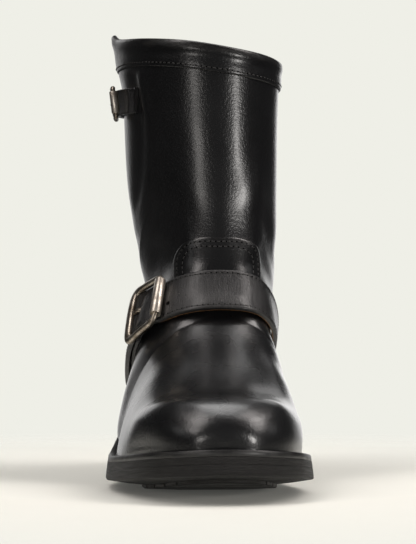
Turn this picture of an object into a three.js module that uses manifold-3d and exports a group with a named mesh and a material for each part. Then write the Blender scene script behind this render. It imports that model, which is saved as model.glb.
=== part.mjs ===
// A short engineer boot for the right foot, as an assembly of its separate pieces.
// Millimetres, +Z up. The toe points to -Y and the outer side of the foot is -X.
// The origin is on the floor, under the middle of the outsole.
import * as THREE from 'three';
import { mergeVertices } from 'three/addons/utils/BufferGeometryUtils.js';
import Module from 'manifold-3d';

const wasm = await Module();
wasm.setup();

// Driving sizes of the boot.
const outsoleLength = 304;
const ballWidth = 112; // across the outsole at the ball
const instepHeight = 95; // floor to the crest of the instep, at the strap's lower edge
const bootHeight = 250; // floor to the front of the collar
const collarTilt = 0.147; // rise of the collar towards the outer side, per mm across
const footWidth = 94; // across the form at the ball
const shaftWidth = 94; // across the form at the collar
const shaftDepth = 124; // front to back at the collar
const gap = 0.3; // between pieces that meet

// Sole pieces.
const treadDepth = 2;
const treadInset = 20; // from the outsole's edge to the raised tread
const outsoleThickness = 6; // without the tread
const midsoleThickness = 4;
const weltThickness = 3.4;
const insoleThickness = 3;
const heelRise = 28; // of the heel seat above the ball
const seatSlope = 2.5; // extra height at the very back of the heel seat
const toeSpring = 14;
const crown = 3.6; // rise of the forepart's edge above its middle
const crownFlat = 18; // half width of the flat middle of the forepart
const edgeTaper = 1.0; // how far each layer's top edge stands in from its lower edge
const heelBreast = 77; // from the back of the heel to its front face
const heelTaper = 2.5;
const topLiftThickness = 8;
const weltEnd = 92; // from the back of the heel to the ends of the welt
const grooveWidth = 3;
const groovePitch = 19;
const grooveDepth = 1.6;

// Upper.
const wall = 2.4;
const overlayStep = 1.4; // how far the vamp, counter, back strip and cuff stand out of the shaft
const cuffHeight = 16;
const cuffFlare = 2; // of the collar's outer rear corner
const backStripWidth = 22;

// Straps.
const strapWidth = 27;
const strapThickness = 2.8;
const strapSlope = 33; // degrees, of the instep strap in side view
const chapeThickness = 2.4; // of the short straps that hold the buckles
const strapRest = 0.5; // between a strap and the leather that it lies on
const topStrapWidth = 15;
const topStrapThickness = 2.2;
const topStrapDrop = 38; // from the collar's front to the top strap's lower edge

const halfLength = outsoleLength / 2;
const ballTop = treadDepth + outsoleThickness + midsoleThickness;
const ballLine = 0.58 * outsoleLength; // the sole lies flat from here
const springLine = 0.65 * outsoleLength; // and rises to the toe from here
const clearOfAll = 40; // how far a cutting solid reaches past what it cuts

const clamp01 = (t) => Math.min(1, Math.max(0, t));
const smooth = (t) => clamp01(t) ** 2 * (3 - 2 * clamp01(t));
const mix = (a, b, t) => a + (b - a) * t;
const radians = THREE.MathUtils.degToRad;

// A natural cubic spline through the points (xs, ys).
function spline(xs, ys) {
  const n = xs.length;
  const bend = new Array(n).fill(0);
  const work = new Array(n).fill(0);
  for (let i = 1; i < n - 1; i++) {
    const ratio = (xs[i] - xs[i - 1]) / (xs[i + 1] - xs[i - 1]);
    const pivot = ratio * bend[i - 1] + 2;
    const after = (ys[i + 1] - ys[i]) / (xs[i + 1] - xs[i]);
    const before = (ys[i] - ys[i - 1]) / (xs[i] - xs[i - 1]);
    bend[i] = (ratio - 1) / pivot;
    work[i] = ((6 * (after - before)) / (xs[i + 1] - xs[i - 1]) - ratio * work[i - 1]) / pivot;
  }
  for (let i = n - 2; i >= 0; i--) bend[i] = bend[i] * bend[i + 1] + work[i];
  return (x) => {
    let k = 0;
    while (k < n - 2 && x > xs[k + 1]) k++;
    const h = xs[k + 1] - xs[k];
    const a = (xs[k + 1] - x) / h;
    const b = (x - xs[k]) / h;
    return a * ys[k] + b * ys[k + 1] + (((a ** 3 - a) * bend[k] + (b ** 3 - b) * bend[k + 1]) * h * h) / 6;
  };
}

// The named columns of a table as splines over a key of each row.
function columns(names, rows, key) {
  const keys = rows.map(key);
  return Object.fromEntries(names.map((name, c) => [name, spline(keys, rows.map((row) => row[c]))]));
}

const place = (s, x, z) => new THREE.Vector3(x, halfLength - s, z);

// A closed solid from a geometry, with its faces turned outward.
function solidOf(geometry) {
  const bare = geometry.clone();
  bare.deleteAttribute('normal');
  bare.deleteAttribute('uv');
  const merged = mergeVertices(bare, 1e-4);
  const index = merged.index.array;
  const triangles = [];
  for (let i = 0; i < index.length; i += 3) {
    const [a, b, c] = [index[i], index[i + 1], index[i + 2]];
    if (a !== b && b !== c && a !== c) triangles.push([a, b, c]);
  }
  const build = (faces) =>
    new wasm.Manifold(
      new wasm.Mesh({
        numProp: 3,
        vertProperties: new Float32Array(merged.attributes.position.array),
        triVerts: new Uint32Array(faces.flat()),
      }),
    );
  const solid = build(triangles);
  return solid.volume() > 0 ? solid : build(triangles.map(([a, b, c]) => [b, a, c]));
}

// A solid through rings of equally many points, capped at both ends or closed on itself.
function ringSolid(rings, closed = false) {
  const size = rings[0].length;
  const bands = closed ? rings.length : rings.length - 1;
  const index = [];
  for (let j = 0; j < bands; j++) {
    const next = ((j + 1) % rings.length) * size;
    for (let i = 0; i < size; i++) {
      const k = (i + 1) % size;
      index.push(j * size + i, j * size + k, next + k, j * size + i, next + k, next + i);
    }
  }
  const last = (rings.length - 1) * size;
  for (let i = 1; i < size - 1 && !closed; i++) index.push(0, i + 1, i, last, last + i, last + i + 1);
  const geometry = new THREE.BufferGeometry();
  const positions = rings.flat().flatMap((p) => p.toArray());
  geometry.setAttribute('position', new THREE.Float32BufferAttribute(positions, 3));
  geometry.setIndex(index);
  return solidOf(geometry);
}

// Outline of the sole: shares of the outsole's length from the heel, and of the ball width across.
const SOLE_COLUMNS = ['along', 'middle', 'half'];
const SOLE_ROWS = [
  [0.0, 0.045, 0.0],
  [0.035, 0.045, 0.217],
  [0.125, 0.045, 0.339],
  [0.247, 0.03, 0.346],
  [0.33, -0.006, 0.36],
  [0.395, -0.03, 0.38],
  [0.46, -0.042, 0.408],
  [0.543, -0.037, 0.452],
  [0.625, -0.018, 0.482],
  [0.707, 0.007, 0.493],
  [0.806, 0.024, 0.454],
  [0.905, 0.035, 0.375],
  [0.967, 0.04, 0.248],
  [1.0, 0.04, 0.0],
];
const turnAt = (s) => Math.acos(1 - 2 * clamp01(s / outsoleLength)); // 0 at the heel, pi at the toe
const sole = columns(SOLE_COLUMNS, SOLE_ROWS, (row) => turnAt(row[0] * outsoleLength));

// A point of the sole's outline, on the outer (-1) or inner (+1) side, moved in by inset.
function outlinePoint(turn, side, inset) {
  const at = (t) => [
    halfLength * (1 - Math.cos(t)),
    ballWidth * (sole.middle(t) + side * Math.max(0, sole.half(t))),
  ];
  const step = 0.01;
  const [s, x] = at(turn);
  if (turn < step) return [s + inset, x];
  if (turn > Math.PI - step) return [s - inset, x];
  const [s0, x0] = at(turn - step);
  const [s1, x1] = at(turn + step);
  const length = Math.hypot(s1 - s0, x1 - x0);
  return [s + (side * (x1 - x0) * inset) / length, x - (side * (s1 - s0) * inset) / length];
}

// Height of a layer of the sole, given its height at the flat of the ball.
function layer(height, s, x) {
  const toHeel = clamp01((ballLine - s) / (ballLine - heelBreast));
  const seat = heelRise * smooth(toHeel) + seatSlope * clamp01((heelBreast - s) / heelBreast);
  const spring = toeSpring * clamp01((s - springLine) / (outsoleLength - springLine)) ** 1.4;
  const reach = Math.abs(x - ballWidth * sole.middle(turnAt(s)));
  const edge = clamp01((reach - crownFlat) / (ballWidth / 2 - crownFlat)) ** 2;
  return height + seat + spring + crown * (1 - toHeel) * edge;
}

const layerAt = (height) => (s, x) => layer(height, s, x);
const flatAt = (height) => () => height;
const PLATE_ACROSS = [0, 0.2, 0.5, 0.8, 1];

const PLATE_STEPS = 32;

// A layer within the sole's outline. A wing carries its edges on sideways, for cutting.
function plate({ lowerInset, upperInset = lowerInset, lower, upper, wing = 0 }) {
  const row = (turn, inset, height) => {
    const [s0, x0] = outlinePoint(turn, -1, inset);
    const [s1, x1] = outlinePoint(turn, 1, inset);
    const points = PLATE_ACROSS.map((share) => {
      const [s, x] = [mix(s0, s1, share), mix(x0, x1, share)];
      return place(s, x, height(s, x));
    });
    if (!wing) return points;
    const aside = new THREE.Vector3(wing, 0, 0);
    return [points[0].clone().sub(aside), ...points, points.at(-1).clone().add(aside)];
  };
  const rings = [];
  for (let j = 0; j <= PLATE_STEPS; j++) {
    const turn = (Math.PI * j) / PLATE_STEPS;
    rings.push([...row(turn, lowerInset, lower), ...row(turn, upperInset, upper).reverse()]);
  }
  return ringSolid(rings);
}

// The form of the upper: sections that fan round the ankle, from the toe to the collar. Each runs
// from a back or bottom end to a front or top end. Distances along are shares of the outsole's
// length. Heights are shares from the sole's top (0) to the instep (1) and on to the collar (2).
// X and half widths are shares of the foot's width. bulge is the height of the widest place in the
// section. The powers round its front and back: 2 is an ellipse, more is squarer.
const FORM_COLUMNS = [
  'frontAlong', 'frontHigh', 'frontX', 'backAlong', 'backHigh', 'backX',
  'half', 'bulge', 'frontPower', 'backPower', 'tilt',
];
const FORM_ROWS = [
  [0.973, 0.12, 0.043, 0.973, 0.12, 0.043, 0.0, 0.5, 2.2, 2.2, 0.0],
  [0.969, 0.208, 0.043, 0.969, -0.04, 0.043, 0.128, 0.5, 2.2, 3.2, 0.0],
  [0.956, 0.286, 0.045, 0.956, -0.08, 0.045, 0.215, 0.45, 2.3, 3.6, 0.0],
  [0.935, 0.352, 0.047, 0.935, -0.092, 0.046, 0.29, 0.42, 2.4, 3.9, 0.0],
  [0.905, 0.419, 0.048, 0.905, -0.1, 0.043, 0.353, 0.4, 2.5, 4.0, 0.0],
  [0.865, 0.47, 0.05, 0.865, -0.105, 0.03, 0.405, 0.38, 2.6, 4.0, 0.0],
  [0.815, 0.488, 0.055, 0.815, -0.1, 0.015, 0.452, 0.36, 2.6, 4.0, 0.0],
  [0.76, 0.526, 0.064, 0.76, -0.1, 0.0, 0.485, 0.33, 2.5, 4.0, 0.0],
  [0.7, 0.61, 0.075, 0.7, -0.097, -0.027, 0.496, 0.3, 2.4, 4.0, 0.0],
  [0.635, 0.735, 0.09, 0.635, -0.096, -0.048, 0.496, 0.28, 2.25, 4.0, 0.0],
  [0.575, 0.863, 0.1, 0.575, -0.096, -0.058, 0.483, 0.27, 2.1, 4.0, 0.0],
  [0.527, 1.0, 0.106, 0.515, -0.1, -0.058, 0.463, 0.28, 2.05, 4.0, 0.0],
  [0.501, 1.061, 0.106, 0.44, -0.11, -0.104, 0.437, 0.32, 2.05, 4.2, 0.0],
  [0.482, 1.119, 0.106, 0.36, -0.13, -0.09, 0.407, 0.38, 2.1, 4.4, 0.0],
  [0.469, 1.174, 0.106, 0.278, -0.144, -0.052, 0.388, 0.42, 2.1, 4.4, 0.0],
  [0.46, 1.226, 0.106, 0.195, -0.147, 0.01, 0.383, 0.44, 2.1, 4.0, 0.0],
  [0.454, 1.276, 0.106, 0.115, -0.13, 0.04, 0.379, 0.45, 2.1, 3.2, 0.0],
  [0.449, 1.325, 0.106, 0.048, -0.057, 0.055, 0.383, 0.46, 2.1, 2.6, 0.0],
  [0.445, 1.374, 0.106, 0.017, 0.08, 0.068, 0.389, 0.47, 2.15, 2.3, 0.0],
  [0.442, 1.423, 0.106, 0.011, 0.314, 0.068, 0.396, 0.48, 2.15, 2.15, 0.0],
  [0.439, 1.477, 0.106, 0.019, 0.64, 0.06, 0.409, 0.5, 2.2, 2.1, 0.01],
  [0.4365, 1.539, 0.102, 0.033, 1.006, 0.035, 0.426, 0.5, 2.2, 2.1, 0.03],
  [0.4345, 1.613, 0.096, 0.044, 1.153, 0.0, 0.443, 0.5, 2.2, 2.1, 0.06],
  [0.4325, 1.698, 0.09, 0.046, 1.319, -0.03, 0.46, 0.5, 2.2, 2.1, 0.35],
  [0.43, 1.797, 0.085, 0.04, 1.521, -0.04, 0.47, 0.5, 2.2, 2.1, 0.65],
  [0.428, 1.895, 0.08, 0.03, 1.748, -0.04, 0.481, 0.5, 2.2, 2.1, 0.88],
  [0.426, 2.0, 0.075, 0.02, 1.974, -0.04, 0.5, 0.5, 2.2, 2.1, 1.0],
];
const TOP_ROW = FORM_ROWS.length - 1;
const ANKLE_ROW = 18; // the shaft's own width and depth take over from here
const form = columns(FORM_COLUMNS, FORM_ROWS, (row) => FORM_ROWS.indexOf(row));
const tableDepth = outsoleLength * (form.frontAlong(TOP_ROW) - form.backAlong(TOP_ROW));
const tableWidth = 2 * footWidth * form.half(TOP_ROW);

function formHeight(s, share) {
  if (share > 1) return mix(instepHeight, bootHeight, share - 1);
  return mix(layer(ballTop, s, ballWidth * sole.middle(turnAt(s))), instepHeight, share);
}

function section(v) {
  const shaft = smooth((v - ANKLE_ROW) / 4);
  const back = outsoleLength * form.backAlong(v);
  const depth = outsoleLength * form.frontAlong(v) - back;
  const front = back + depth * mix(1, shaftDepth / tableDepth, shaft);
  return {
    front: [front, footWidth * form.frontX(v), formHeight(front, form.frontHigh(v))],
    back: [back, footWidth * form.backX(v), formHeight(back, form.backHigh(v))],
    half: footWidth * Math.max(0, form.half(v)) * mix(1, shaftWidth / tableWidth, shaft),
    bulge: form.bulge(v),
    frontPower: form.frontPower(v),
    backPower: form.backPower(v),
    tilt: form.tilt(v) * collarTilt,
  };
}

// A point of the form at row v. u goes round the section: 0 is its front or top, 0.25 the outer
// side, 0.5 its back or bottom and 0.75 (or -0.25) the inner side.
function formPoint(v, u) {
  const at = section(v);
  const [c, d] = [Math.cos(2 * Math.PI * u), Math.sin(2 * Math.PI * u)];
  const power = c >= 0 ? at.frontPower : at.backPower;
  const reach = Math.abs(c) ** (2 / power);
  const share = c >= 0 ? mix(at.bulge, 1, reach) : mix(at.bulge, 0, reach);
  const corner = Math.exp(-(((u - 0.31) / 0.05) ** 2)) * smooth((v - TOP_ROW + 1.4) / 1.4) * cuffFlare;
  const across = -Math.sign(d) * at.half * Math.abs(d) ** (2 / power) - corner;
  const end = (k) => mix(at.back[k], at.front[k], share);
  return place(end(0), end(1) + across, end(2) - at.tilt * across);
}

function formNormal(v, u) {
  if (v < 1e-3) return new THREE.Vector3(0, -1, 0);
  const low = Math.max(1e-3, v - 0.02);
  const high = Math.min(TOP_ROW, v + 0.02);
  const along = formPoint(high, u).sub(formPoint(low, u));
  const round = formPoint(v, u + 0.002).sub(formPoint(v, u - 0.002));
  return along.cross(round).normalize();
}

const formOffset = (v, u, offset) => formPoint(v, u).addScaledVector(formNormal(v, u), offset);

// The form as a closed solid grown by offset, and carried on past the collar.
function formSolid(offset, around = 36, steps = 36) {
  const rings = [];
  for (let j = 0; j <= steps; j++) {
    const v = (TOP_ROW * j) / steps;
    rings.push(Array.from({ length: around }, (_, i) => formOffset(v, i / around, offset)));
  }
  const rise = new THREE.Vector3(0, 0, clearOfAll);
  rings.push(rings[steps].map((p) => p.clone().add(rise)));
  return ringSolid(rings);
}

// Height of the collar's rim.
function collarHeight(s, x) {
  const { front, back, tilt } = section(TOP_ROW);
  const share = (s - back[0]) / (front[0] - back[0]);
  return mix(back[2], front[2], share) - tilt * (x - mix(back[1], front[1], share));
}

// A block over the whole boot between two surfaces.
function block(lower, upper) {
  const corners = [[-1, -1], [-1, 1], [1, 1], [1, -1]].map(([a, b]) => [
    halfLength + a * (halfLength + clearOfAll),
    b * (ballWidth / 2 + clearOfAll),
  ]);
  return ringSolid([lower, upper].map((height) => corners.map(([s, x]) => place(s, x, height(s, x)))));
}

// A side view outline carried across the boot: points are [distance from the heel's back, height].
function sidePrism(points, reach) {
  const shape = new THREE.Shape(points.map(([s, z]) => new THREE.Vector2(s, z)));
  const geometry = new THREE.ExtrudeGeometry(shape, { depth: 2 * reach, bevelEnabled: false });
  const along = new THREE.Vector3(0, -1, 0);
  const up = new THREE.Vector3(0, 0, 1);
  const across = new THREE.Vector3(1, 0, 0);
  geometry.applyMatrix4(new THREE.Matrix4().makeBasis(along, up, across));
  return solidOf(geometry.translate(-reach, halfLength, 0));
}

const wholeReach = ballWidth / 2 + clearOfAll;
const midsoleInset = 1.6 * edgeTaper + 0.2;
const aboveLayer = (height) =>
  plate({
    lowerInset: midsoleInset,
    wing: clearOfAll,
    lower: layerAt(height),
    upper: flatAt(bootHeight + clearOfAll),
  });
const aboveSole = aboveLayer(ballTop + gap);
const span = (from, to) =>
  sidePrism([[from, -clearOfAll], [to, -clearOfAll], [to, bootHeight], [from, bootHeight]], wholeReach);

// Sole: outsole with its tread, midsole, welt, heel and top lift.
const outsoleTop = treadDepth + outsoleThickness;
const treadStart = heelBreast + 1.4 * treadInset;

function buildOutsole() {
  const body = plate({
    lowerInset: 0,
    upperInset: edgeTaper,
    lower: layerAt(treadDepth),
    upper: layerAt(outsoleTop),
  });
  const tread = plate({
    lowerInset: treadInset,
    lower: layerAt(0),
    upper: layerAt(treadDepth + outsoleThickness / 2),
  });
  let solid = body.add(tread.intersect(span(treadStart, outsoleLength)));
  for (let s = treadStart + groovePitch; s < outsoleLength - treadInset; s += groovePitch) {
    const middle = ballWidth * sole.middle(turnAt(s));
    const box = new THREE.BoxGeometry(ballWidth, grooveWidth, 2 * grooveDepth);
    const at = place(s, middle, layer(0, s, middle));
    solid = solid.subtract(solidOf(box.translate(at.x, at.y, at.z)));
  }
  return solid;
}

const midsole = plate({
  lowerInset: edgeTaper + 0.2,
  upperInset: midsoleInset,
  lower: layerAt(outsoleTop + gap),
  upper: layerAt(ballTop),
});

const welt = plate({
  lowerInset: midsoleInset + 0.2,
  upperInset: midsoleInset + 0.4 * edgeTaper + 0.2,
  lower: layerAt(ballTop + gap),
  upper: layerAt(ballTop + gap + weltThickness),
})
  .subtract(formSolid(overlayStep + gap))
  .intersect(span(weltEnd, outsoleLength));

const heelBlock = span(-clearOfAll, heelBreast);
const heelBase = plate({
  lowerInset: heelTaper,
  upperInset: 0.4,
  lower: (s, x) => Math.min(topLiftThickness + gap, layer(treadDepth - gap, s, x) - 1),
  upper: layerAt(treadDepth - gap),
}).intersect(heelBlock);

const topLift = plate({
  lowerInset: heelTaper + 0.6,
  upperInset: heelTaper,
  lower: flatAt(0),
  upper: flatAt(topLiftThickness),
}).intersect(heelBlock);

const insole = formSolid(-wall - gap, 32, 30)
  .intersect(aboveSole)
  .subtract(aboveLayer(ballTop + gap + insoleThickness));

// Upper: one shell, in which the vamp with its tongue, the counter, the back strip and the cuff
// stand out by a step. Their edges in side view are shares of the outsole's length and formHeight's.
const VAMP_EDGE = [
  [0.46, 1.265], [0.44, 1.2], [0.425, 1.13], [0.405, 1.0],
  [0.375, 0.7], [0.335, 0.3], [0.3, 0], [0.29, -0.4],
];
const COUNTER_EDGE = [
  [0.265, -0.4], [0.262, 0.1], [0.235, 0.42], [0.19, 0.72], [0.13, 0.92], [0.07, 1.02], [0.0, 1.06],
];
const edgePoint = ([along, high]) => [along * outsoleLength, formHeight(along * outsoleLength, high)];
const vampRegion = sidePrism(
  [...VAMP_EDGE.map(edgePoint), [outsoleLength + clearOfAll, -clearOfAll],
    [outsoleLength + clearOfAll, edgePoint(VAMP_EDGE[0])[1]]],
  wholeReach,
);
const counterRegion = sidePrism(
  [...COUNTER_EDGE.map(edgePoint), [-clearOfAll, edgePoint(COUNTER_EDGE.at(-1))[1]], [-clearOfAll, 0]],
  wholeReach,
);
const backStripRegion = sidePrism(
  [[-clearOfAll, instepHeight / 2], [shaftDepth / 4, instepHeight / 2],
    [shaftDepth / 4, bootHeight], [-clearOfAll, bootHeight]],
  backStripWidth / 2,
);
const cuffRegion = block(
  (s, x) => collarHeight(s, x) - cuffHeight,
  (s, x) => collarHeight(s, x) + clearOfAll,
);
const overlays = [vampRegion, counterRegion, backStripRegion, cuffRegion].reduce((a, b) => a.add(b));
const belowCollar = block(flatAt(-clearOfAll), collarHeight);
const upper = formSolid(0)
  .add(formSolid(overlayStep).intersect(overlays))
  .subtract(formSolid(-wall, 32, 30))
  .intersect(aboveSole)
  .intersect(belowCollar);

// A strap lies on the form along a band, which is a slab in side view. Its lower edge passes the
// point origin, and normal points across it, in the plane of y and z.
function bandPoint(band, u, share, offset) {
  let [low, high] = [1, TOP_ROW];
  for (let k = 0; k < 22; k++) {
    const v = (low + high) / 2;
    const from = formPoint(v, u).sub(band.origin);
    if (from.dot(band.normal) < share * band.width) low = v;
    else high = v;
  }
  return formOffset((low + high) / 2, u, offset);
}

const BAND_ACROSS = [0, 0.33, 0.67, 1];

// A strap along a band from one u to another. lift is the strap's height over the form.
function strap(band, { from, to, steps, thickness, lift, trim = 0, point = 0 }) {
  const rings = [];
  for (let j = 0; j <= steps; j++) {
    const u = mix(from, to, j / steps);
    const tip = point * clamp01((j - steps + 3) / 3) ** 2;
    const shares = BAND_ACROSS.map((share) => mix(trim + tip, 1 - trim - tip, share));
    const row = (offset) => shares.map((share) => bandPoint(band, u, share, offset));
    rings.push([...row(lift(u)), ...row(lift(u) + thickness).reverse()]);
  }
  return ringSolid(rings);
}

// A roller buckle over a strap: front and rear are the u of its bars, lift the strap's outer face.
function buckle(band, sizes) {
  const { front, rear, lift, frontHalf, rearHalf, corner, wire, roller, rearWide, stand, skew } = sizes;
  const over = (u, extra, share = 0.5) => bandPoint(band, u, share, lift(u) + extra);
  const start = over(rear, wire + stand, 0.5 + skew);
  const end = over(front, roller + stand, 0.5 - skew);
  const along = end.clone().sub(start).normalize();
  const middle = (front + rear) / 2;
  const edgeToEdge = bandPoint(band, middle, 1, 0).sub(bandPoint(band, middle, 0, 0));
  const out = edgeToEdge.clone().cross(along).normalize();
  if (out.dot(formNormal(TOP_ROW / 2, middle)) < 0) out.negate();
  const across = out.clone().cross(along).normalize();
  const length = end.distanceTo(start);
  const at = (a, b) => start.clone().addScaledVector(along, a).addScaledVector(across, b);

  const corners = [[0, -rearHalf], [0, rearHalf], [length, frontHalf], [length, -frontHalf]];
  const path = [];
  corners.forEach(([a, b], i) => {
    const [before, after] = [corners[(i + 3) % 4], corners[(i + 1) % 4]];
    const toBefore = corner / Math.hypot(before[0] - a, before[1] - b);
    const toAfter = corner / Math.hypot(after[0] - a, after[1] - b);
    for (const t of [0, 0.33, 0.67, 1]) {
      const point = [a, b].map((here, k) => {
        const enter = mix(here, before[k], toBefore);
        const leave = mix(here, after[k], toAfter);
        return mix(mix(enter, here, t), mix(here, leave, t), t);
      });
      path.push(point);
    }
  });
  const rings = path.map(([a, b], i) => {
    const [before, after] = [path.at(i - 1), path[(i + 1) % path.length]];
    const side = new THREE.Vector2(after[1] - before[1], before[0] - after[0]).normalize();
    const broad = a < 0.3 * length ? mix(rearWide, wire, a / (0.3 * length)) : wire;
    const width = a > 0.93 * length ? wire * 0.8 : broad;
    const depth = a > 0.93 * length ? wire * 0.8 : wire;
    return Array.from({ length: 8 }, (_, k) => {
      const angle = (k * Math.PI) / 4;
      const reach = width * Math.cos(angle);
      return at(a + side.x * reach, b + side.y * reach).addScaledVector(out, depth * Math.sin(angle));
    });
  });

  const rollerHalf = frontHalf - corner - gap;
  const profile = [
    [wire * 0.8 + gap, -rollerHalf], [roller, -rollerHalf], [roller, rollerHalf],
    [wire * 0.8 + gap, rollerHalf], [wire * 0.8 + gap, -rollerHalf],
  ].map(([r, y]) => new THREE.Vector2(r, y));
  const tube = new THREE.LatheGeometry(profile, 14);
  tube.applyMatrix4(new THREE.Matrix4().makeBasis(along, across, out).setPosition(end));

  const prongRadius = wire * 0.7;
  const prongRings = [0.12, 0.3, 0.5, 0.7, 0.84].map((share) => {
    const u = mix(rear, front, share);
    const centre = over(u, gap + prongRadius + 0.2);
    const radius = share > 0.8 ? prongRadius * 0.6 : prongRadius;
    return Array.from({ length: 8 }, (_, k) => {
      const angle = (k * Math.PI) / 4;
      return centre
        .clone()
        .addScaledVector(across, radius * Math.cos(angle))
        .addScaledVector(out, radius * Math.sin(angle));
    });
  });
  return { frame: ringSolid(rings, true), roller: solidOf(tube), prong: ringSolid(prongRings) };
}

const bandNormal = (degrees) => new THREE.Vector3(0, Math.sin(radians(degrees)), Math.cos(radians(degrees)));
const onForm = overlayStep + strapRest;

// Instep strap: from the inner side of the heel seat over the instep, under the buckle, to its tail.
const instepBand = { origin: formPoint(11.1, 0), normal: bandNormal(strapSlope), width: strapWidth };
const instepRear = 0.215;
const instepFront = 0.125;
const instepLift = (u) => onForm + (chapeThickness + gap) * smooth((u - 0.1) / 0.08);
const instepStrap = strap(instepBand, {
  from: -0.46, to: 0.325, steps: 40, thickness: strapThickness, lift: instepLift, point: 0.3,
}).intersect(aboveSole);
const instepChape = strap(instepBand, {
  from: 0.215, to: 0.46, steps: 14, thickness: chapeThickness, lift: () => onForm, trim: 0.06,
}).intersect(aboveSole);
const instepBuckle = buckle(instepBand, {
  front: instepFront, rear: instepRear, lift: (u) => instepLift(u) + strapThickness,
  frontHalf: 15.9, rearHalf: 17.4, corner: 3.6, wire: 1.7, roller: 2.6, rearWide: 2.8, stand: 2.0,
  skew: 0.04,
});

// Top strap: across the outer side of the shaft, under the cuff.
const topBand = {
  origin: new THREE.Vector3(0, 0, bootHeight - topStrapDrop), normal: bandNormal(0), width: topStrapWidth,
};
const topLiftOff = (u) => strapRest + (chapeThickness + gap) * smooth((u - 0.2) / 0.08);
const topStrap = strap(topBand, {
  from: 0.19, to: 0.42, steps: 14, thickness: topStrapThickness, lift: topLiftOff, point: 0.3,
});
const topChape = strap(topBand, {
  from: 0.3, to: 0.43, steps: 8, thickness: chapeThickness - 0.4, lift: () => strapRest, trim: 0.08,
});
const topBuckle = buckle(topBand, {
  front: 0.25, rear: 0.33, lift: (u) => topLiftOff(u) + topStrapThickness,
  frontHalf: 9.6, rearHalf: 10.2, corner: 1.8, wire: 1.3, roller: 2, rearWide: 1.8, stand: 0.8, skew: 0,
});

// The assembly.
const boot = new THREE.Group();
const finish = (color, roughness, metalness) =>
  new THREE.MeshStandardMaterial({ color, roughness, metalness });
const blackLeather = finish(0x17171a, 0.32, 0);
const edgeLeather = finish(0x6b4a2c, 0.75, 0);
const blackRubber = finish(0x1b1b1c, 0.7, 0);
const agedNickel = finish(0xa59c8e, 0.35, 1);

function add(name, solid, material) {
  const { vertProperties, triVerts } = solid.getMesh();
  const geometry = new THREE.BufferGeometry();
  geometry.setAttribute('position', new THREE.Float32BufferAttribute(Array.from(vertProperties), 3));
  geometry.setIndex(Array.from(triVerts));
  const mesh = new THREE.Mesh(geometry, material);
  mesh.name = name;
  boot.add(mesh);
}

add('outsole', buildOutsole(), blackRubber);
add('midsole', midsole, blackRubber);
add('welt', welt, blackLeather);
add('heel_base', heelBase, blackRubber);
add('top_lift', topLift, blackRubber);
add('insole', insole, edgeLeather);
add('upper', upper, blackLeather);
add('instep_strap', instepStrap, blackLeather);
add('instep_chape', instepChape, blackLeather);
add('instep_buckle', instepBuckle.frame, agedNickel);
add('instep_roller', instepBuckle.roller, agedNickel);
add('instep_prong', instepBuckle.prong, agedNickel);
add('top_strap', topStrap, blackLeather);
add('top_chape', topChape, blackLeather);
add('top_buckle', topBuckle.frame, agedNickel);
add('top_roller', topBuckle.roller, agedNickel);
add('top_prong', topBuckle.prong, agedNickel);

export default boot;
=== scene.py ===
"""The engineer boot's looks: leather, rubber, metal and stitches, with a floor, lights and a camera.

Lengths are millimetres in the boot's own frame until mesh_object() turns them into metres. s runs
from the back of the heel to the toe, x towards the inner side of the foot and z up.
"""

import math

import bpy
import numpy as np
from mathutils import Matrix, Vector


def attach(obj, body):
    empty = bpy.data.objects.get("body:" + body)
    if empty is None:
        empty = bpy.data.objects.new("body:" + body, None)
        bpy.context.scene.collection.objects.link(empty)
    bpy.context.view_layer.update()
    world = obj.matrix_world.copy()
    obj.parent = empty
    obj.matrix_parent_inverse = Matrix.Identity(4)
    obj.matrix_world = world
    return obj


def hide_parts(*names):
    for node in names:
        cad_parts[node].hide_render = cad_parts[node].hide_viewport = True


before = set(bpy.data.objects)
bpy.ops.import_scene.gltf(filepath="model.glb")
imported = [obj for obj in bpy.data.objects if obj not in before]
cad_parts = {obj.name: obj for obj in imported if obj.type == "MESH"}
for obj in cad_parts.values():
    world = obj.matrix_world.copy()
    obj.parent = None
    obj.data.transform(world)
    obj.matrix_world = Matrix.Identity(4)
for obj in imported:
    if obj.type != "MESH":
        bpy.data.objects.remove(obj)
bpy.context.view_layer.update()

MM = 0.001

# Sizes of the solids.
OUTSOLE_LENGTH = 304
BALL_WIDTH = 112
INSTEP_HEIGHT = 95
BOOT_HEIGHT = 250
COLLAR_TILT = 0.147
FOOT_WIDTH = 94
SHAFT_WIDTH = 94
SHAFT_DEPTH = 124
GAP = 0.3
TREAD_DEPTH = 2
TREAD_INSET = 20
OUTSOLE_THICKNESS = 6
MIDSOLE_THICKNESS = 4
WELT_THICKNESS = 3.4
INSOLE_THICKNESS = 3
HEEL_RISE = 28
SEAT_SLOPE = 2.5
TOE_SPRING = 14
CROWN = 3.6
CROWN_FLAT = 18
HEEL_BREAST = 77
HEEL_TAPER = 2.5
TOP_LIFT_THICKNESS = 8
WELT_END = 92
GROOVE_WIDTH = 3
GROOVE_PITCH = 19
WALL = 2.4
OVERLAY_STEP = 1.4
CUFF_HEIGHT = 16
CUFF_FLARE = 2
BACK_STRIP_WIDTH = 22
STRAP_WIDTH = 27
STRAP_THICKNESS = 2.8
STRAP_SLOPE = 33
CHAPE_THICKNESS = 2.4
STRAP_REST = 0.5
TOP_STRAP_WIDTH = 15
TOP_STRAP_THICKNESS = 2.2
TOP_STRAP_DROP = 38

HALF_LENGTH = OUTSOLE_LENGTH / 2
BALL_TOP = TREAD_DEPTH + OUTSOLE_THICKNESS + MIDSOLE_THICKNESS
OUTSOLE_TOP = TREAD_DEPTH + OUTSOLE_THICKNESS
UPPER_FOOT = BALL_TOP + GAP
BALL_LINE = 0.58 * OUTSOLE_LENGTH
SPRING_LINE = 0.65 * OUTSOLE_LENGTH


def clamp01(t):
    return np.clip(t, 0, 1)


def smooth(t):
    return clamp01(t) ** 2 * (3 - 2 * clamp01(t))


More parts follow.
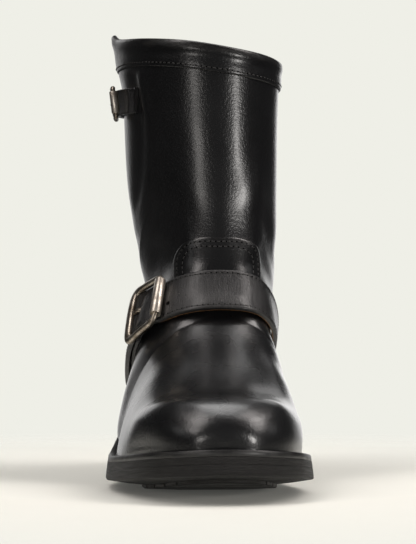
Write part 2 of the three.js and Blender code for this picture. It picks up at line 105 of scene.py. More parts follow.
def mix(a, b, t):
    return a + (b - a) * t


def bell(x, centre, width):
    return np.exp(-(((x - centre) / width) ** 2))


def spline(xs, ys):
    """A natural cubic spline through the points (xs, ys)."""
    xs, ys = np.asarray(xs, float), np.asarray(ys, float)
    h = np.diff(xs)
    count = len(xs)
    system = np.eye(count)
    right = np.zeros(count)
    for i in range(1, count - 1):
        system[i, i - 1 : i + 2] = h[i - 1], 2 * (h[i - 1] + h[i]), h[i]
        right[i] = 6 * ((ys[i + 1] - ys[i]) / h[i] - (ys[i] - ys[i - 1]) / h[i - 1])
    bend = np.linalg.solve(system, right)

    def at(x):
        x = np.asarray(x, float)
        k = np.clip(np.searchsorted(xs, x, side="right") - 1, 0, count - 2)
        a, b = (xs[k + 1] - x) / h[k], (x - xs[k]) / h[k]
        curve = ((a**3 - a) * bend[k] + (b**3 - b) * bend[k + 1]) * h[k] ** 2 / 6
        return a * ys[k] + b * ys[k + 1] + curve

    return at


def columns(names, rows, keys):
    rows = np.array(rows, float)
    return {name: spline(keys, rows[:, c]) for c, name in enumerate(names)}


def place(s, x, z):
    s, x, z = np.broadcast_arrays(s, x, z)
    return np.stack([x, HALF_LENGTH - s, z], -1).astype(float)


def run_along(points):
    """Lengths from the start of a line to each of its points."""
    return np.concatenate([[0], np.cumsum(np.linalg.norm(np.diff(points, axis=0), axis=1))])


def halve(low, high, steps, under):
    """The value between low and high up to which under(value) is true."""
    for _ in range(steps):
        middle = (low + high) / 2
        below = under(middle)
        low, high = np.where(below, middle, low), np.where(below, high, middle)
    return (low + high) / 2


def circle(count, a, b):
    """Points of a unit circle in the plane of the directions a and b."""
    angles = np.arange(count) * math.pi / (count / 2)
    return np.cos(angles)[:, None] * a + np.sin(angles)[:, None] * b


# Outline of the sole: shares of the outsole's length from the heel, and of the ball width across.
SOLE_COLUMNS = ("along", "middle", "half")
SOLE_ROWS = [
    (0.0, 0.045, 0.0),
    (0.035, 0.045, 0.217),
    (0.125, 0.045, 0.339),
    (0.247, 0.03, 0.346),
    (0.33, -0.006, 0.36),
    (0.395, -0.03, 0.38),
    (0.46, -0.042, 0.408),
    (0.543, -0.037, 0.452),
    (0.625, -0.018, 0.482),
    (0.707, 0.007, 0.493),
    (0.806, 0.024, 0.454),
    (0.905, 0.035, 0.375),
    (0.967, 0.04, 0.248),
    (1.0, 0.04, 0.0),
]


def turn_at(s):
    return np.arccos(1 - 2 * clamp01(np.asarray(s, float) / OUTSOLE_LENGTH))


sole = columns(SOLE_COLUMNS, SOLE_ROWS, [float(turn_at(row[0] * OUTSOLE_LENGTH)) for row in SOLE_ROWS])


def outline_point(turn, side, inset):
    """A point of the sole's outline on the outer (-1) or inner (+1) side, moved in by inset."""
    turn = np.asarray(turn, float)

    def at(t):
        half = np.maximum(0, sole["half"](t))
        return HALF_LENGTH * (1 - np.cos(t)), BALL_WIDTH * (sole["middle"](t) + side * half)

    step = 0.01
    s, x = at(turn)
    s0, x0 = at(np.clip(turn - step, 0, math.pi))
    s1, x1 = at(np.clip(turn + step, 0, math.pi))
    length = np.hypot(s1 - s0, x1 - x0)
    inner = (turn >= step) & (turn <= math.pi - step)
    end = np.where(turn < step, inset, -inset)
    ds = np.where(inner, side * (x1 - x0) * inset / length, end)
    dx = np.where(inner, -side * (s1 - s0) * inset / length, 0)
    return s + ds, x + dx


def layer(height, s, x):
    """Height of a layer of the sole, given its height at the flat of the ball."""
    s, x = np.asarray(s, float), np.asarray(x, float)
    to_heel = clamp01((BALL_LINE - s) / (BALL_LINE - HEEL_BREAST))
    seat = HEEL_RISE * smooth(to_heel) + SEAT_SLOPE * clamp01((HEEL_BREAST - s) / HEEL_BREAST)
    spring = TOE_SPRING * clamp01((s - SPRING_LINE) / (OUTSOLE_LENGTH - SPRING_LINE)) ** 1.4
    reach = np.abs(x - BALL_WIDTH * sole["middle"](turn_at(s)))
    edge = clamp01((reach - CROWN_FLAT) / (BALL_WIDTH / 2 - CROWN_FLAT)) ** 2
    return height + seat + spring + CROWN * (1 - to_heel) * edge


# The form of the upper: sections that fan round the ankle, from the toe to the collar.
FORM_COLUMNS = (
    "front_along", "front_high", "front_x", "back_along", "back_high", "back_x",
    "half", "bulge", "front_power", "back_power", "tilt",
)
FORM_ROWS = [
    (0.973, 0.12, 0.043, 0.973, 0.12, 0.043, 0.0, 0.5, 2.2, 2.2, 0.0),
    (0.969, 0.208, 0.043, 0.969, -0.04, 0.043, 0.128, 0.5, 2.2, 3.2, 0.0),
    (0.956, 0.286, 0.045, 0.956, -0.08, 0.045, 0.215, 0.45, 2.3, 3.6, 0.0),
    (0.935, 0.352, 0.047, 0.935, -0.092, 0.046, 0.29, 0.42, 2.4, 3.9, 0.0),
    (0.905, 0.419, 0.048, 0.905, -0.1, 0.043, 0.353, 0.4, 2.5, 4.0, 0.0),
    (0.865, 0.47, 0.05, 0.865, -0.105, 0.03, 0.405, 0.38, 2.6, 4.0, 0.0),
    (0.815, 0.488, 0.055, 0.815, -0.1, 0.015, 0.452, 0.36, 2.6, 4.0, 0.0),
    (0.76, 0.526, 0.064, 0.76, -0.1, 0.0, 0.485, 0.33, 2.5, 4.0, 0.0),
    (0.7, 0.61, 0.075, 0.7, -0.097, -0.027, 0.496, 0.3, 2.4, 4.0, 0.0),
    (0.635, 0.735, 0.09, 0.635, -0.096, -0.048, 0.496, 0.28, 2.25, 4.0, 0.0),
    (0.575, 0.863, 0.1, 0.575, -0.096, -0.058, 0.483, 0.27, 2.1, 4.0, 0.0),
    (0.527, 1.0, 0.106, 0.515, -0.1, -0.058, 0.463, 0.28, 2.05, 4.0, 0.0),
    (0.501, 1.061, 0.106, 0.44, -0.11, -0.104, 0.437, 0.32, 2.05, 4.2, 0.0),
    (0.482, 1.119, 0.106, 0.36, -0.13, -0.09, 0.407, 0.38, 2.1, 4.4, 0.0),
    (0.469, 1.174, 0.106, 0.278, -0.144, -0.052, 0.388, 0.42, 2.1, 4.4, 0.0),
    (0.46, 1.226, 0.106, 0.195, -0.147, 0.01, 0.383, 0.44, 2.1, 4.0, 0.0),
    (0.454, 1.276, 0.106, 0.115, -0.13, 0.04, 0.379, 0.45, 2.1, 3.2, 0.0),
    (0.449, 1.325, 0.106, 0.048, -0.057, 0.055, 0.383, 0.46, 2.1, 2.6, 0.0),
    (0.445, 1.374, 0.106, 0.017, 0.08, 0.068, 0.389, 0.47, 2.15, 2.3, 0.0),
    (0.442, 1.423, 0.106, 0.011, 0.314, 0.068, 0.396, 0.48, 2.15, 2.15, 0.0),
    (0.439, 1.477, 0.106, 0.019, 0.64, 0.06, 0.409, 0.5, 2.2, 2.1, 0.01),
    (0.4365, 1.539, 0.102, 0.033, 1.006, 0.035, 0.426, 0.5, 2.2, 2.1, 0.03),
    (0.4345, 1.613, 0.096, 0.044, 1.153, 0.0, 0.443, 0.5, 2.2, 2.1, 0.06),
    (0.4325, 1.698, 0.09, 0.046, 1.319, -0.03, 0.46, 0.5, 2.2, 2.1, 0.35),
    (0.43, 1.797, 0.085, 0.04, 1.521, -0.04, 0.47, 0.5, 2.2, 2.1, 0.65),
    (0.428, 1.895, 0.08, 0.03, 1.748, -0.04, 0.481, 0.5, 2.2, 2.1, 0.88),
    (0.426, 2.0, 0.075, 0.02, 1.974, -0.04, 0.5, 0.5, 2.2, 2.1, 1.0),
]

TOP_ROW = len(FORM_ROWS) - 1
ANKLE_ROW = 18
form = columns(FORM_COLUMNS, FORM_ROWS, range(len(FORM_ROWS)))
table_depth = OUTSOLE_LENGTH * float(form["front_along"](TOP_ROW) - form["back_along"](TOP_ROW))
table_width = 2 * FOOT_WIDTH * float(form["half"](TOP_ROW))


def form_height(s, share):
    low = mix(layer(BALL_TOP, s, BALL_WIDTH * sole["middle"](turn_at(s))), INSTEP_HEIGHT, share)
    return np.where(share > 1, mix(INSTEP_HEIGHT, BOOT_HEIGHT, share - 1), low)


def form_point(v, u):
    """A point of the upper's form at row v. u is 0 at the front, 0.25 outside and 0.5 behind."""
    v, u = np.broadcast_arrays(np.asarray(v, float), np.asarray(u, float))
    col = {name: form[name](v) for name in FORM_COLUMNS}
    shaft = smooth((v - ANKLE_ROW) / 4)
    back_s = OUTSOLE_LENGTH * col["back_along"]
    depth = OUTSOLE_LENGTH * col["front_along"] - back_s
    front_s = back_s + depth * mix(1, SHAFT_DEPTH / table_depth, shaft)
    front = front_s, FOOT_WIDTH * col["front_x"], form_height(front_s, col["front_high"])
    back = back_s, FOOT_WIDTH * col["back_x"], form_height(back_s, col["back_high"])
    half = FOOT_WIDTH * np.maximum(0, col["half"]) * mix(1, SHAFT_WIDTH / table_width, shaft)
    c, d = np.cos(2 * np.pi * u), np.sin(2 * np.pi * u)
    power = np.where(c >= 0, col["front_power"], col["back_power"])
    share = mix(col["bulge"], np.where(c >= 0, 1.0, 0.0), np.abs(c) ** (2 / power))
    corner = bell(u, 0.31, 0.05) * smooth((v - TOP_ROW + 1.4) / 1.4) * CUFF_FLARE
    across = -np.sign(d) * half * np.abs(d) ** (2 / power) - corner
    s, x, z = (mix(back[k], front[k], share) for k in range(3))
    return place(s, x + across, z - col["tilt"] * COLLAR_TILT * across)


def unit(a):
    return a / np.maximum(1e-9, np.linalg.norm(a, axis=-1, keepdims=True))


def form_normal(v, u):
    v = np.clip(v, 1e-3, TOP_ROW)
    along = form_point(np.minimum(TOP_ROW, v + 0.02), u) - form_point(np.maximum(1e-3, v - 0.02), u)
    around = form_point(v, u + 0.002) - form_point(v, u - 0.002)
    return unit(np.cross(along, around))


def form_offset(v, u, offset):
    return form_point(v, u) + form_normal(v, u) * np.asarray(offset, float)[..., None]


def side_distance(s, z, edge):
    """Distance in side view to an open line of (s, z) points, positive towards larger s."""
    best = np.full(np.shape(s), 1e9)
    sign = np.ones(np.shape(s))
    for (s0, z0), (s1, z1) in zip(edge[:-1], edge[1:]):
        ds, dz = s1 - s0, z1 - z0
        t = clamp01(((s - s0) * ds + (z - z0) * dz) / (ds * ds + dz * dz))
        away = np.hypot(s - s0 - t * ds, z - z0 - t * dz)
        turn = ds * (z - z0) - dz * (s - s0)
        closer = away < best
        best = np.where(closer, away, best)
        sign = np.where(closer, np.where(turn > 0, 1.0, -1.0), sign)
    return best * sign


# Mesh building.
UPPER = ["upper"]
ROUND_EDGE = 0.5
WORN_EDGE = 1.6
materials = {}


def mesh_object(name, points, faces, material, nodes=(), smooth_angle=40, attributes=(), uv=None):
    """A mesh in metres from points in millimetres, which rides on the boot's one body."""
    mesh = bpy.data.meshes.new(name)
    mesh.from_pydata((np.asarray(points) * MM).tolist(), [], [list(map(int, f)) for f in faces])
    mesh.polygons.foreach_set("use_smooth", [True] * len(mesh.polygons))
    mesh.set_sharp_from_angle(angle=math.radians(smooth_angle))
    for key, values in attributes:
        mesh.attributes.new(key, "FLOAT", "POINT").data.foreach_set("value", np.asarray(values, np.float32))
    if uv is not None:
        corner = np.empty(len(mesh.loops), dtype=np.int32)
        mesh.loops.foreach_get("vertex_index", corner)
        mesh.uv_layers.new(name="flow").data.foreach_set("uv", np.asarray(uv, np.float32)[corner].ravel())
    piece = bpy.data.objects.new(name, mesh)
    bpy.context.scene.collection.objects.link(piece)
    mesh.materials.append(materials[material])
    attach(piece, "root")
    if nodes:
        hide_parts(*nodes)


def grid_faces(rows, cols, wrap_rows=False, wrap_cols=False, start=0):
    r = np.arange(rows if wrap_rows else rows - 1)
    c = np.arange(cols if wrap_cols else cols - 1)
    r, c = np.meshgrid(r, c, indexing="ij")
    r1, c1 = (r + 1) % rows, (c + 1) % cols
    quads = np.stack([r * cols + c, r * cols + c1, r1 * cols + c1, r1 * cols + c], -1)
    return (quads.reshape(-1, 4) + start).tolist()


def end_faces(rows, cols, start=0):
    """Faces that close the first and the last ring of a grid."""
    last = start + (rows - 1) * cols
    return [list(range(start, start + cols))[::-1], list(range(last, last + cols))]


def flow_uv(along, across):
    """UVs of a grid, in steps of 100 mm, from the lengths along and across it."""
    return np.stack(np.broadcast_arrays(along, across), -1).reshape(-1, 2) * 0.01


def form_grid(v_range, u_range, pitch):
    """Rows and columns of the form, about pitch apart, as arrays of v and u."""
    fine_v = np.linspace(*v_range, 300)
    probes = np.linspace(*u_range, 9)
    steps = [np.linalg.norm(np.diff(form_point(fine_v, u), axis=0), axis=-1) for u in probes]
    run = np.concatenate([[0], np.cumsum(np.max(steps, axis=0))])
    rows = max(2, int(run[-1] / pitch) + 1)
    v = np.interp(np.linspace(0, run[-1], rows), run, fine_v)
    fine_u = np.linspace(*u_range, 500)
    around = form_point(v[:, None], fine_u[None, :])
    steps = np.linalg.norm(np.diff(around, axis=1), axis=-1)
    run = np.concatenate([np.zeros((rows, 1)), np.cumsum(steps, axis=1)], axis=1)
    cols = max(3, int(run[:, -1].max() / pitch) + 1)
    u = np.stack([np.interp(np.linspace(0, r[-1], cols), r + np.arange(500) * 1e-9, fine_u) for r in run])
    return np.repeat(v[:, None], cols, axis=1), u


def clip_grid(v, u, inside):
    """The part of a grid where inside is positive: v, u and inside of its points, faces and rim."""
    rows, cols = v.shape
    flat_v, flat_u, flat_f = v.ravel(), u.ravel(), inside.ravel()
    keep = flat_f >= 0
    corner = np.array(grid_faces(rows, cols))
    count = keep[corner].sum(axis=1)
    number = -np.ones(flat_f.size, int)
    used = np.unique(corner[count > 0])
    used = used[keep[used]]
    number[used] = np.arange(len(used))
    faces = number[corner[count == 4]].tolist()
    out_v, out_u, out_f = list(flat_v[used]), list(flat_u[used]), list(flat_f[used])
    cut, rim = {}, []
    for quad in corner[(count > 0) & (count < 4)]:
        face, fresh = [], []
        for a, b in zip(quad, np.roll(quad, -1)):
            if keep[a]:
                face.append(number[a])
            if keep[a] != keep[b]:
                key = (min(a, b), max(a, b))
                if key not in cut:
                    t = flat_f[a] / (flat_f[a] - flat_f[b])
                    cut[key] = len(out_v)
                    out_v.append(mix(flat_v[a], flat_v[b], t))
                    out_u.append(mix(flat_u[a], flat_u[b], t))
                    out_f.append(0.0)
                face.append(cut[key])
                fresh.append((cut[key], bool(keep[a])))
        faces.append(face)
        for k, (here, leaving) in enumerate(fresh):
            if leaving:
                rim.append((here, fresh[(k + 1) % len(fresh)][0]))
    return np.array(out_v), np.array(out_u), np.array(out_f), faces, rim


def sheet(name, grid, inside, height, material, rim_depth, shape=None):
    """Leather over the form where inside is positive, with a cut edge down to what it lies on."""
    v, u, f, faces, rim = clip_grid(*grid, inside)
    normal = form_normal(v, u)
    top = height - ROUND_EDGE * clamp01(1 - f) ** 2
    points = form_point(v, u) + normal * top[:, None]
    if shape is not None:
        points = points + normal * shape(points, v, u)[:, None]
    wear = np.exp(-f / WORN_EDGE)
    if rim_depth:
        rim_ids = sorted({k for pair in rim for k in pair})
        lower = {k: len(points) + i for i, k in enumerate(rim_ids)}
        points = np.concatenate([points, points[rim_ids] - normal[rim_ids] * rim_depth])
        wear = np.concatenate([wear, np.ones(len(rim_ids))])
        faces += [[b, a, lower[a], lower[b]] for a, b in rim]
    mesh_object(name, points, faces, material, UPPER, attributes=[("edge", wear)])


def level_lines(v, u, inside, level):
    """Chains of (v, u) points along which inside equals level."""
    f = inside - level
    segments = {}
    cells = np.array(grid_faces(*f.shape))
    flat_v, flat_u, flat_f = v.ravel(), u.ravel(), f.ravel()
    sign = flat_f >= 0
    mixed = cells[(sign[cells].sum(axis=1) % 4) != 0]
    spots = {}

    def spot(a, b):
        key = (min(a, b), max(a, b))
        if key not in spots:
            t = flat_f[a] / (flat_f[a] - flat_f[b])
            spots[key] = (mix(flat_v[a], flat_v[b], t), mix(flat_u[a], flat_u[b], t))
        return key

    for quad in mixed:
        ends = [spot(a, b) for a, b in zip(quad, np.roll(quad, -1)) if sign[a] != sign[b]]
        for a, b in zip(ends[::2], ends[1::2]):
            segments.setdefault(a, []).append(b)
            segments.setdefault(b, []).append(a)
    chains, seen = [], set()
    starts = [k for k, n in segments.items() if len(n) == 1] + list(segments)
    for start in starts:
        if start in seen:
            continue
        chain, here = [start], start
        seen.add(start)
        while True:
            ahead = [n for n in segments[here] if n not in seen]
            if not ahead:
                break
            here = ahead[0]
            seen.add(here)
            chain.append(here)
        if len(chain) > 6:
            chains.append(np.array([spots[k] for k in chain]))
    return chains


def resample(points, pitch, normals):
    run = run_along(points)
    count = max(2, int(round(run[-1] / pitch)) + 1)
    at = np.linspace(0, run[-1], count)
    pick = lambda a: np.stack([np.interp(at, run, a[:, k]) for k in range(3)], -1)
    return pick(points), unit(pick(normals))


STITCH_PITCH = 3.1
# Rings of a stitch: share of its length, then radius and height in shares of its size.
STITCH_RINGS = ((0.1, 0.35, -0.5), (0.2, 0.8, -0.1), (0.5, 1.0, 0.12), (0.8, 0.8, -0.1), (0.9, 0.35, -0.5))
stitch_parts = {"thread": ([], [], 0), "hole": ([], [], 0)}


def collect(kind, points, faces):
    all_points, all_faces, start = stitch_parts[kind]
    all_points.append(points)
    all_faces.extend([[k + start for k in face] for face in faces])
    stitch_parts[kind] = (all_points, all_faces, start + len(points))


def sew(points, normals, pitch=STITCH_PITCH, size=0.42, sink=0.12):
    """A row of stitches: a short thread between each two holes, each hole a dark disc of painted shade."""
    points, normals = resample(np.asarray(points), pitch, np.asarray(normals))
    for a, b, normal_a, normal_b in zip(points, points[1:], normals, normals[1:]):
        normal, along = unit(normal_a + normal_b), unit(b - a)
        across = np.cross(normal, along)
        rings = [mix(a, b, t) + normal * (h * size - sink) + size * r * circle(6, across, normal)
                 for t, r, h in STITCH_RINGS]
        collect("thread", np.concatenate(rings), grid_faces(len(rings), 6, wrap_cols=True))
        # Each hole is a flat dark disc just over the leather: painted shade where the thread goes into it.
        disc = a + 1.15 * size * circle(8, along, across)
        collect("hole", disc + normal * 0.06, [list(range(8))])


# Edges in side view: shares of the outsole's length, and of the form's height.
VAMP_EDGE = [
    (0.46, 1.265), (0.44, 1.2), (0.425, 1.13), (0.405, 1.0),
    (0.375, 0.7), (0.335, 0.3), (0.3, 0.0), (0.29, -0.4),
]
COUNTER_EDGE = [
    (0.265, -0.4), (0.262, 0.1), (0.235, 0.42), (0.19, 0.72), (0.13, 0.92), (0.07, 1.02), (0.0, 1.06),
]


def side_edge(shares):
    """A finer line of (s, z) points through given ones."""
    line = np.array([(a * OUTSOLE_LENGTH, float(form_height(a * OUTSOLE_LENGTH, h))) for a, h in shares])
    keys = range(len(line))
    fine = np.linspace(0, keys[-1], keys[-1] * 8 + 1)
    return list(zip(*(spline(keys, line[:, k])(fine) for k in (0, 1))))


vamp_edge = side_edge(VAMP_EDGE)
counter_edge = side_edge(COUNTER_EDGE)


def band(origin, degrees, width):
    tilt = math.radians(degrees)
    return {"origin": origin, "normal": np.array([0, math.sin(tilt), math.cos(tilt)]), "width": width}


instep_band = band(form_point(11.1, 0), STRAP_SLOPE, STRAP_WIDTH)
top_band = band(np.array([0, 0, BOOT_HEIGHT - TOP_STRAP_DROP]), 0, TOP_STRAP_WIDTH)


def band_point(strip, u, share, offset):
    """A point over the form at u, at a share of a strap's width from its lower edge."""
    u, share, offset = np.broadcast_arrays(*(np.asarray(a, float) for a in (u, share, offset)))
    under = lambda v: (form_point(v, u) - strip["origin"]) @ strip["normal"] < share * strip["width"]
    return form_offset(halve(np.ones(u.shape), np.full(u.shape, float(TOP_ROW)), 22, under), u, offset)


def collar_drop(points):
    """How far points lie under the plane of the collar."""
    top, low = form_point(TOP_ROW, 0.0), form_point(TOP_ROW, 0.5)
    share = (low[1] - points[..., 1]) / (low[1] - top[1])
    centre = mix(low[0], top[0], share)
    return mix(low[2], top[2], share) - COLLAR_TILT * (points[..., 0] - centre) - points[..., 2]


def collar_row(drop, u):
    """The row of the form that lies drop under the plane of the collar."""
    low, high = np.full(u.shape, 19.0), np.full(u.shape, float(TOP_ROW))
    return halve(low, high, 24, lambda v: collar_drop(form_point(v, u)) > drop)


# Regions of the leather pieces: positive inside, in mm from the edge.
TONGUE_MIDDLE, TONGUE_HALF, TONGUE_TOP, TONGUE_CORNER, TONGUE_BACK = 9.0, 24.6, 138.5, 17.0, 45


def tongue_inside(p):
    """The tongue at the top of the vamp is an oblong with round corners in front view."""
    x = np.abs(p[..., 0] - TONGUE_MIDDLE) - (TONGUE_HALF - TONGUE_CORNER)
    z = p[..., 2] - (TONGUE_TOP - TONGUE_CORNER)
    outside = np.hypot(np.maximum(x, 0), np.maximum(z, 0)) + np.minimum(np.maximum(x, z), 0)
    return np.where(p[..., 1] < TONGUE_BACK, TONGUE_CORNER - outside, -50)


def vamp_line(p):
    s, z = HALF_LENGTH - p[..., 1], p[..., 2]
    side = side_distance(s, z, vamp_edge)
    across = (p - instep_band["origin"]) @ instep_band["normal"]
    return np.maximum(np.minimum(side, 0.55 * STRAP_WIDTH - across), tongue_inside(p))


def counter_line(p):
    s, z = HALF_LENGTH - p[..., 1], p[..., 2]
    return side_distance(s, z, counter_edge)


def over_sole(p, height=UPPER_FOOT):
    return p[..., 2] - layer(height, HALF_LENGTH - p[..., 1], p[..., 0])


def vamp_region(p):
    return np.minimum(vamp_line(p), over_sole(p, UPPER_FOOT + 1))


def counter_region(p):
    return np.minimum(counter_line(p), over_sole(p))


# How far the shaft goes under the leather sewn on it, and how far it ends under the collar.
UNDERLAP = 4
SHAFT_STOP = 3


def shaft_region(p):
    beside = UNDERLAP - np.maximum(vamp_line(p), counter_line(p))
    return np.minimum(np.minimum(beside, collar_drop(p) - SHAFT_STOP), over_sole(p))


def strip_line(p, v):
    return BACK_STRIP_WIDTH / 2 - np.abs(p[..., 0] - 0.5 * FOOT_WIDTH * form["back_x"](v))


def strip_region(p, v):
    beside = np.minimum(strip_line(p, v), UNDERLAP - counter_line(p))
    return np.minimum(beside, collar_drop(p) - SHAFT_STOP)


# Creases and bulges, by the boot's own sizes.
CORNER = 0.3
FOLD_LINE = [
    (140, -38), (158, -36), (176, -34.2), (192, -33.6), (206, -34.3), (217, -36), (226, -37.6), (236, -38.5),
]
fold_x = spline(*zip(*FOLD_LINE))


def ankle_front(z, u):
    """The front of the ankle is flatter than the shaft over it: it is fuller at both its sides."""
    low = smooth((z - 121) / 14) * smooth((196 - z) / 40)
    return (1.3 * bell(u, 0.07, 0.035) + 2.7 * bell(u, -0.085, 0.035)) * low


def shaft_shape(p, v, u):
    """The fold at the outer side that the top strap pulls together, and soft waves of the ankle."""
    x, z = p[..., 0], p[..., 2]
    away = x - fold_x(np.clip(z, 140, 236))
    front = smooth((0.33 - np.abs(u)) / 0.05) * smooth((u + 0.02) / 0.05)
    along = smooth((z - 138) / 30) * smooth((238 - z) / 4)
    pinch = bell(z, 220, 16)
    fold = -(1.0 + 1.2 * pinch) * bell(away, -0.6, 2.6) + (0.5 + 0.6 * pinch) * bell(away, 4.4, 3.0)
    waves = 0.5 * np.sin(z / 9.0 + 3.5 * u * 2 * np.pi) * bell(z, 118, 22) * smooth((np.abs(u) - 0.06) / 0.1)
    side = np.abs(u)
    ankle = -1.0 * bell(z, 128, 9) * bell(side, 0.17, 0.08) + 0.5 * bell(z, 141, 8) * bell(side, 0.15, 0.08)
    flare = 1.0 * bell(u, CORNER, 0.05) * smooth((CUFF_HEIGHT + 12 - collar_drop(p)) / 14)
    return fold * front * along + waves + ankle + flare + ankle_front(z, u)


def vamp_shape(p, v, u):
    """The stiff toe box: flat on top and full at both sides, with a shallow dip behind its crest."""
    reach = 0.2 - 0.06 * smooth((v - 7) / 3)
    dip = smooth((reach - np.abs(u)) / 0.14) * smooth((v - 4.0) / 1.9) * smooth((14.2 - v) / 3.2)
    dip = dip * (1 + 0.2 * smooth((v - 9.2) / 1.9))
    ledge = 0.4 * bell(v, 3.4, 0.7) * smooth((0.11 - np.abs(u)) / 0.06)
    outer = bell(u, 0.16, 0.08) * bell(v, 5.6, 2.2)
    inner = bell(u, -0.12, 0.06) * bell(v, 5.4, 2.0)
    return 4.0 * outer + 2.0 * inner + ledge - 2.8 * dip + ankle_front(p[..., 2], u)


def sew_inside(grid, inside, levels, height, keep, shape=None):
    """Rows of stitches at levels inside the edge of a leather piece, where keep allows them."""
    for level in levels:
        for chain in level_lines(*grid, inside, level):
            v, u = chain.T
            base, normal = form_point(v, u), form_normal(v, u)
            points = base + normal * height
            if shape is not None:
                points = points + normal * shape(points, v, u)[:, None]
            ok = keep(base)
            cuts = np.flatnonzero(np.diff(ok.astype(int))) + 1
            for part in np.split(np.arange(len(ok)), cuts):
                if ok[part[0]] and len(part) > 6:
                    sew(points[part], normal[part])


def strap(name, strip, u_range, thickness, lift, node, steps, trim=0.0, tip=0.0, crown=0.35, raw_until=-1.0):
    """A strap along a band, with rounded edges. Up to u = raw_until its lowest edge is bare leather.

    trim is what it is narrower than its band at each side, and tip what its end is narrower still.
    """
    u = np.linspace(*u_range, steps)
    run = run_along(band_point(strip, u, 0.5, 3))
    left = run[-1] - run
    width, t = strip["width"], thickness
    narrow = tip * (1 - np.sqrt(clamp01(1 - clamp01(1 - left / 16) ** 2)))
    edge = [
        (0.25, 0.0), (0.0, 0.2), (0.0, 0.6), (0.0, 0.65), (0.0, t - 0.7), (0.15, t - 0.3),
        (0.5, t - 0.08), (1.1, t),
    ]
    rows = [(off, 0, h) for off, h in edge]
    rows += [(None, share, t) for share in np.linspace(0.09, 0.91, 15)]
    rows += [(off, 1, h) for off, h in edge[::-1]]
    rows += [(None, share, 0.0) for share in (0.8, 0.5, 0.2)]
    low, high = trim + narrow, 1 - trim - narrow
    shares, heights = [], []
    for off, side, h in rows:
        share = side if off is None else abs(side - off / width)
        share = low + (high - low) * share
        shares.append(share)
        heights.append(lift(u) + h + (crown * np.sin(np.pi * clamp01(share)) if h == t else 0))
    share, height = np.stack(shares, 1), np.stack(heights, 1)
    points = band_point(strip, u[:, None], share, height)
    faces = grid_faces(*share.shape, wrap_cols=True) + end_faces(*share.shape)
    bare = np.array([1.0 if h <= 0.6 else 0.0 for _, _, h in rows])
    mask = (smooth((raw_until - u) / 0.03)[:, None] * bare).ravel()
    uv = flow_uv(run[:, None], share * width)
    mesh_object(name, points.reshape(-1, 3), faces, "strap_leather", [node], 50, [("raw", mask)], uv)


# Buckles.
def tube(path, side, out, widths, depths, around=14, closed=True):
    """Rings round a path; side and out are the directions of its cross section."""
    angles = np.arange(around) * 2 * math.pi / around
    rings = [
        p + w * math.cos(a) * sd + d * math.sin(a) * o
        for p, sd, o, w, d in zip(path, side, out, widths, depths)
        for a in angles
    ]
    return np.array(rings), grid_faces(len(path), around, wrap_rows=closed, wrap_cols=True)


def rounded_path(corners, radii):
    """A closed path in the plane through corners, each rounded by its own radius."""
    path = []
    count = len(corners)
    for i in range(count):
        here, before, after = (np.array(corners[k % count], float) for k in (i, i - 1, i + 1))
        enter = here + unit(before - here) * radii[i]
        leave = here + unit(after - here) * radii[i]
        end = after + unit(here - after) * radii[(i + 1) % count]
        path += [mix(mix(enter, here, t), mix(here, leave, t), t) for t in np.linspace(0, 1, 10)]
        path += [mix(leave, end, t) for t in np.linspace(0, 1, 14)[1:-1]]
    return np.array(path)


